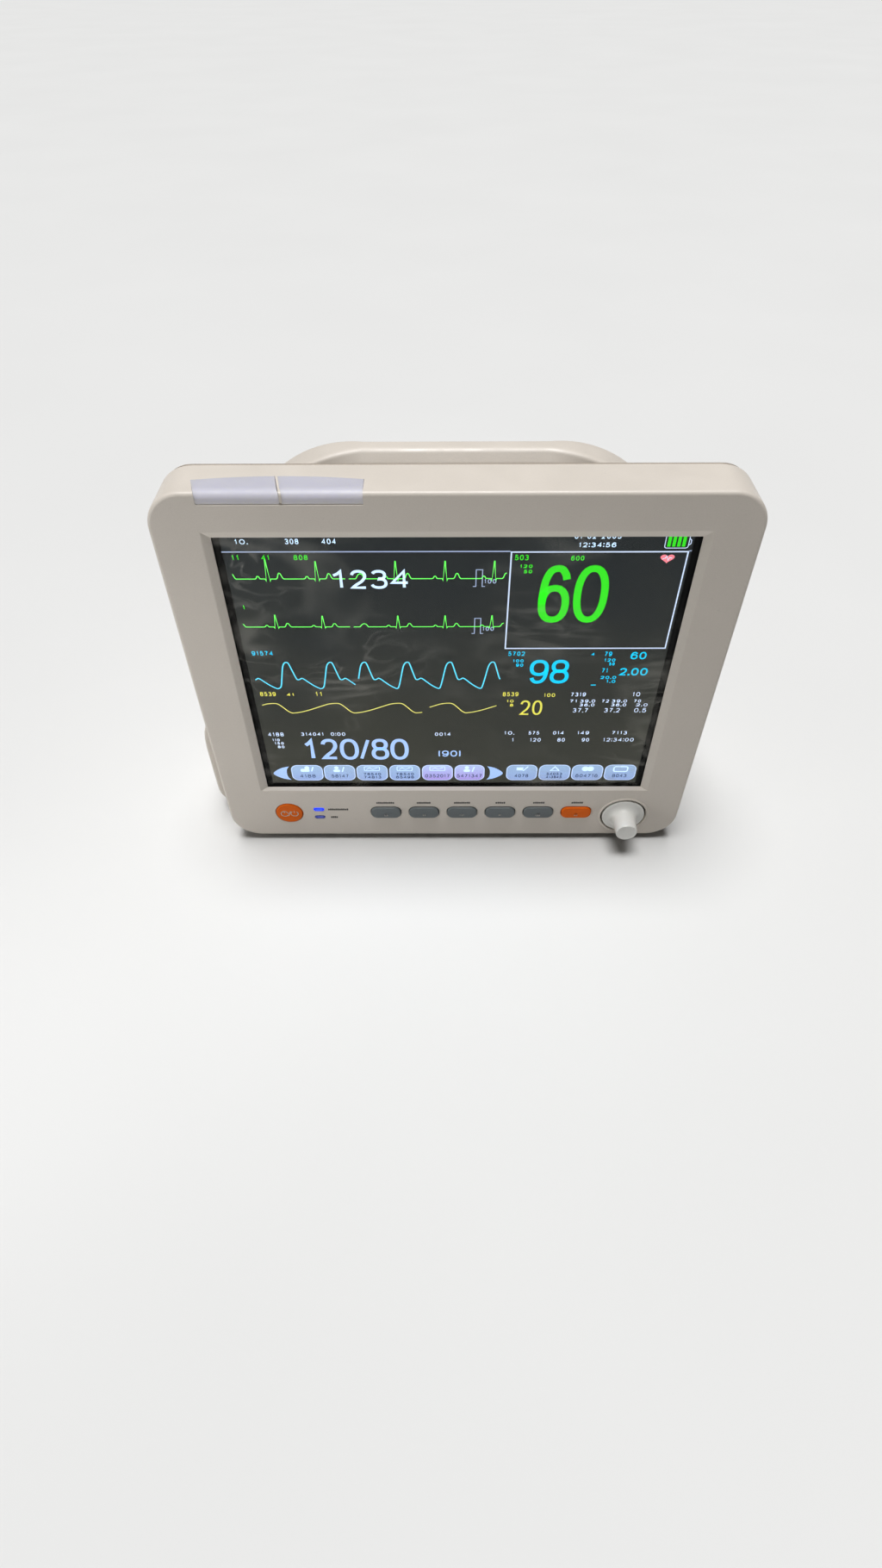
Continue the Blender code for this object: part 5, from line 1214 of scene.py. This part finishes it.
def build_sockets():
    outline = rounded_rectangle(27.7, 30.3, 77.7, 2.2, 5, 66.0)
    plate = prisms("socket_panel", [outline], -169.25, -166.85, axis="X")
    holes = [circle(body + 0.3, centre) for _, centre, body, _, _, _ in SOCKETS]
    cut(plate, prisms("tool", holes, -172.0, -164.0, axis="X"))
    settle(plate, "monitor_body", GREY, "socket_plate")
    contacts, liners, marks = bmesh.new(), bmesh.new(), []
    for name, centre, body, flange, cavity, pins in SOCKETS:
        profile = set_back(
            (0, 11), (cavity, 11), (cavity, 0.6), (cavity + 0.15, 0.2), (cavity + 0.55, 0),
            (flange - 0.6, 0), (flange - 0.18, 0.18), (flange, 0.6), (flange, 1.3),
            (body, 1.3), (body, 21.85), (0, 21.85))
        socket = lathe(name + "_ring", profile, "X", centre, 64)
        settle(socket, "monitor_body", SOCKET, name, sharp=40, weighted=False)
        liner = set_back((0, 10.6), (cavity - 0.05, 10.6), (cavity - 0.05, 2.2),
                         (cavity - 0.7, 2.2), (cavity - 0.7, 9.6), (0, 9.6))
        lathe_in(liners, liner, "X", centre, 48)
        reach = cavity * 0.52 if pins > 2 else 1.5
        for at in circle(reach, centre, pins) if pins else ():
            pin = set_back((0, 9.7), (0.5, 9.7), (0.5, 4.6), (0.25, 4.2), (0, 4.2))
            lathe_in(contacts, pin, "X", at, 16)
        if pins:
            key = rectangle(0.8, centre[1] + cavity - 1.6, centre[1] + cavity - 0.3, centre[0])
            prism_in(liners, key, SOCKET_FRONT + 1.2, SOCKET_FRONT + 10, "X")
        else:
            tube = set_back((0, 9.7), (2.3, 9.7), (2.3, 3.4), (2.0, 3.0), (1.2, 3.0),
                            (1.2, 9.0), (0, 9.0))
            lathe_in(contacts, tube, "X", centre, 32)
        under = centre[1] - flange
        marks.append(rectangle(flange * 0.7, under - 2.0, under - 1.2, centre[0]))
    settle(new_object("socket_liners", liners), "monitor_body", BLACK, weighted=False)
    settle(new_object("socket_contacts", contacts), "monitor_body", BRASS, weighted=False)
    settle(prisms("socket_marks", marks, -169.30, -169.20, axis="X"), "monitor_body", PRINT,
           weighted=False, slot="panel_grey")


def build_covers():
    outline = rounded_rectangle(29.7, 34.3, 111.7, 1.5, 4, 74.0)
    cover = prisms("recorder_cover", [outline], 136.4, 138.8, axis="X")
    grip = rounded_rectangle(14.0, 65.6, 70.4, 2.3, 6, 74.0)
    cut(soften(cover, 0.5), prisms("tool", [grip], 137.5, 141.0, axis="X"))
    settle(cover, "monitor_body", CASING, "recorder_blanking_cover")

    side = [(BACK, DOOR_TOP), (BACK - 2.6, DOOR_TOP)] + arc(DOOR_PIN, 1.3, 180, 360, 12)
    door = prisms("door_panel", [side], *DOOR_X, axis="X")
    recess = [(0, 122.0), (2.3, 122.0), (2.3, 125.4), (4.15, 125.4), (4.15, 126.6),
              (4.35, 126.9), (4.8, 127.02), (4.8, 128.0), (0, 128.0)]
    grooves = [rounded_rectangle(14.0, z - 0.7, z + 0.7, 0.68, 4, 60.0)
               for z in (32.0 + row * 3.2 for row in range(5))]
    cut(soften(door, 0.5, 3, 50), lathe("tool", recess, centre=STUD, steps=48),
        prisms("tool", grooves, 126.5, 129.0))
    settle(door, "battery_door_body", CASING, "battery_door")
    stud = lathe("door_stud", [
        (0, 121.0), (1.5, 121.0), (2.0, 121.5), (2.0, 125.7), (3.9, 125.7), (3.9, 126.6),
        (3.75, 126.9), (3.4, 127.0), (0, 127.0)], centre=STUD, steps=48)
    cut(stud, box("tool", (56.9, 126.1, 62.0), (63.1, 129.0, 63.2)))
    settle(stud, "battery_door_stud_body", STEEL, "battery_door_stud")


def build_label():
    label = prisms("label_sheet", [rounded_rectangle(30, 112, 152, 2, 6, -62)], 127.3, 127.6)
    settle(label, "monitor_body", LABEL, "rating_label")
    bm, y = bmesh.new(), 127.65
    ribbon(bm, rounded_rectangle(28, 114, 150, 1.4, 4, -62), 0.4, y, closed=True)
    for row, length in enumerate((30, 24, 33, 27, 20, 29)):
        z = 144.6 - row * 4.4
        blocks(bm, -87, -87 + length, z - 1.0, z + 0.6, y, 1.5)
    for bar in range(26):
        wide = (0.35, 0.7, 0.35, 0.5)[bar % 4]
        x = -51 + bar * 0.68
        patch(bm, [(x, 117), (x + wide, 117), (x + wide, 124), (x, 124)], y)
    ribbon(bm, rectangle(5.5, 131, 142, -42), 0.4, y, closed=True)
    settle_print("label_lines", bm, 0.04, "monitor_body", PRINT, "label_film")


def build_inlet():
    x = INLET_X
    flange = prisms("inlet_body", [rounded_rectangle(15.5, 96, 140, 2.5, 6, x)], 127.3, 129.5)
    soften(flange, 0.5)
    combine(flange, "UNION", box("tool", (x - 13.5, 104.0, 99.0), (x + 13.5, 128.0, 137.0)))
    socket = [(x - 11.2, 116.6), (x + 11.2, 116.6), (x + 11.2, 127.2), (x + 7.0, 131.4),
              (x - 7.0, 131.4), (x - 11.2, 127.2)]
    slot = rectangle(10.3, 101.4, 109.4, x)
    cut(flange, prisms("tool", [socket], 113.0, 131.0), prisms("tool", [slot], 106.0, 131.0))
    settle(flange, "monitor_body", BLACK, "mains_inlet")
    blades = [rounded_rectangle(1.0, low, low + 4.0, 0.3, 3, x + dx)
              for dx, low in ((-7, 120.4), (7, 120.4), (0, 124.2))]
    pins = prisms("inlet_pins", blades, 112.0, 123.9)
    settle(soften(pins, 0.25, 2), "monitor_body", STEEL)
    drawer = box("drawer_tray", (x - 10.0, 107.0, 101.7), (x + 10.0, 129.3, 109.1))
    soften(drawer, 0.4)
    well = box("tool", (x - 8.4, 109.0, 103.5), (x + 8.4, 125.0, 112.0))
    nick = box("tool", (x - 3.0, 128.2, 108.2), (x + 3.0, 131.0, 110.0))
    cut(drawer, well, nick)
    settle(drawer, "fuse_drawer_body", BLACK, "fuse_drawer")


def build_contacts():
    wires = [rectangle(0.25, 104.4, 105.0, LAN_X - 3.6 + index * 1.03) for index in range(8)]
    settle(prisms("network_contacts", wires, 114.0, 124.0), "monitor_body", BRASS,
           weighted=False)
    post = lathe("earth_stud", [
        (0, 119.0), (2.9, 119.0), (2.9, 127.3), (4.8, 127.3), (5.0, 127.45), (5.0, 127.65),
        (4.8, 127.8), (2.4, 127.8), (2.4, 128.8), (2.2, 129.2), (0, 129.2)],
        centre=POST, steps=48)
    settle(post, "monitor_body", BRASS, "earth_post")


def finish_cad_nodes():
    """Better materials on the CAD nodes that stay visible."""
    finishes = {material.name.split(".")[0]: material for material in (
        CASING, GREY, KEY, KNOB_WHITE, ORANGE, STEEL, DARK_METAL, BRASS, BOARD, BATTERY, BLACK,
        SOCKET, RUBBER, LABEL, LENS, WINDOW, CELL)}
    finishes["indicator_blue"] = MAINS_LAMP
    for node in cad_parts.values():
        for place in node.material_slots:
            stem = place.material.name.split(".")[0]
            if stem in finishes:
                place.material = finishes[stem]


# ---- room and camera ----


WORLD_STRENGTH, CEILING_STRENGTH, FILL_WATTS = 0.03, 2.6, 0.08
SENSOR, FOCAL_LENGTH = 36.0, 18.8288
CAMERA_PLACE = (-6.5, -377.3, 457.35)
CAMERA_RIGHT, CAMERA_UP = (0.99999, 0.00198, -0.00379), (0.00116, 0.72776, 0.68583)


def build_room():
    bm = bmesh.new()
    bmesh.ops.create_grid(bm, x_segments=12, y_segments=12, size=14.0)
    floor = new_object("floor", bm)
    floor.location.z = -0.0004
    material, tree, shader, place = start_material("floor_paper")
    paper = mix(tree, noise(tree, place, 3.0, 3.0), (0.68, 0.68, 0.675), (0.71, 0.71, 0.705))
    fill(tree, shader, Base_Color=paper, Roughness=0.85, Specular_IOR_Level=0.1)
    floor.data.materials.append(material)

    world = bpy.data.worlds.new("studio")
    world.use_nodes = True
    fill(world.node_tree, world.node_tree.nodes["Background"], Color=(1.0, 1.0, 1.0),
         Strength=WORLD_STRENGTH)
    bpy.context.scene.world = world

    def lamp(name, kind, energy, aim, location=(0.0, 0.0, 2.0), **settings):
        data = bpy.data.lights.new(name, kind)
        data.energy = energy
        for key, value in settings.items():
            setattr(data, key, value)
        obj = bpy.data.objects.new(name, data)
        obj.rotation_euler = Vector(aim).to_track_quat("-Z", "Y").to_euler()
        obj.location = location
        bpy.context.scene.collection.objects.link(obj)

    lamp("ceiling", "SUN", CEILING_STRENGTH, (0.05, 0.0, -1.0), angle=math.radians(30))
    lamp("fill", "AREA", FILL_WATTS, (0.42, 0.30, -0.03), (-0.42, -0.30, 0.15), size=0.25,
         spread=math.radians(80))


def build_camera():
    data = bpy.data.cameras.new("camera")
    data.sensor_width, data.lens = SENSOR, FOCAL_LENGTH
    data.clip_start, data.clip_end = 0.01, 60.0
    camera = bpy.data.objects.new("camera", data)
    right, up = Vector(CAMERA_RIGHT), Vector(CAMERA_UP)
    back = right.cross(up).normalized()
    turn = Matrix((right, up, back)).transposed().to_4x4()
    camera.matrix_world = Matrix.Translation(PLACE @ Vector(CAMERA_PLACE)) @ turn
    scene = bpy.context.scene
    scene.collection.objects.link(camera)
    scene.camera = camera
    scene.view_settings.view_transform = "Standard"
    scene.view_settings.look = "High Contrast"


build_camera()
build_bezel()
build_housing()
build_handle()
build_lenses()
build_controls()
build_knob()
build_display()
build_screws()
build_sockets()
build_covers()
build_label()
build_inlet()
build_contacts()
finish_cad_nodes()
build_room()
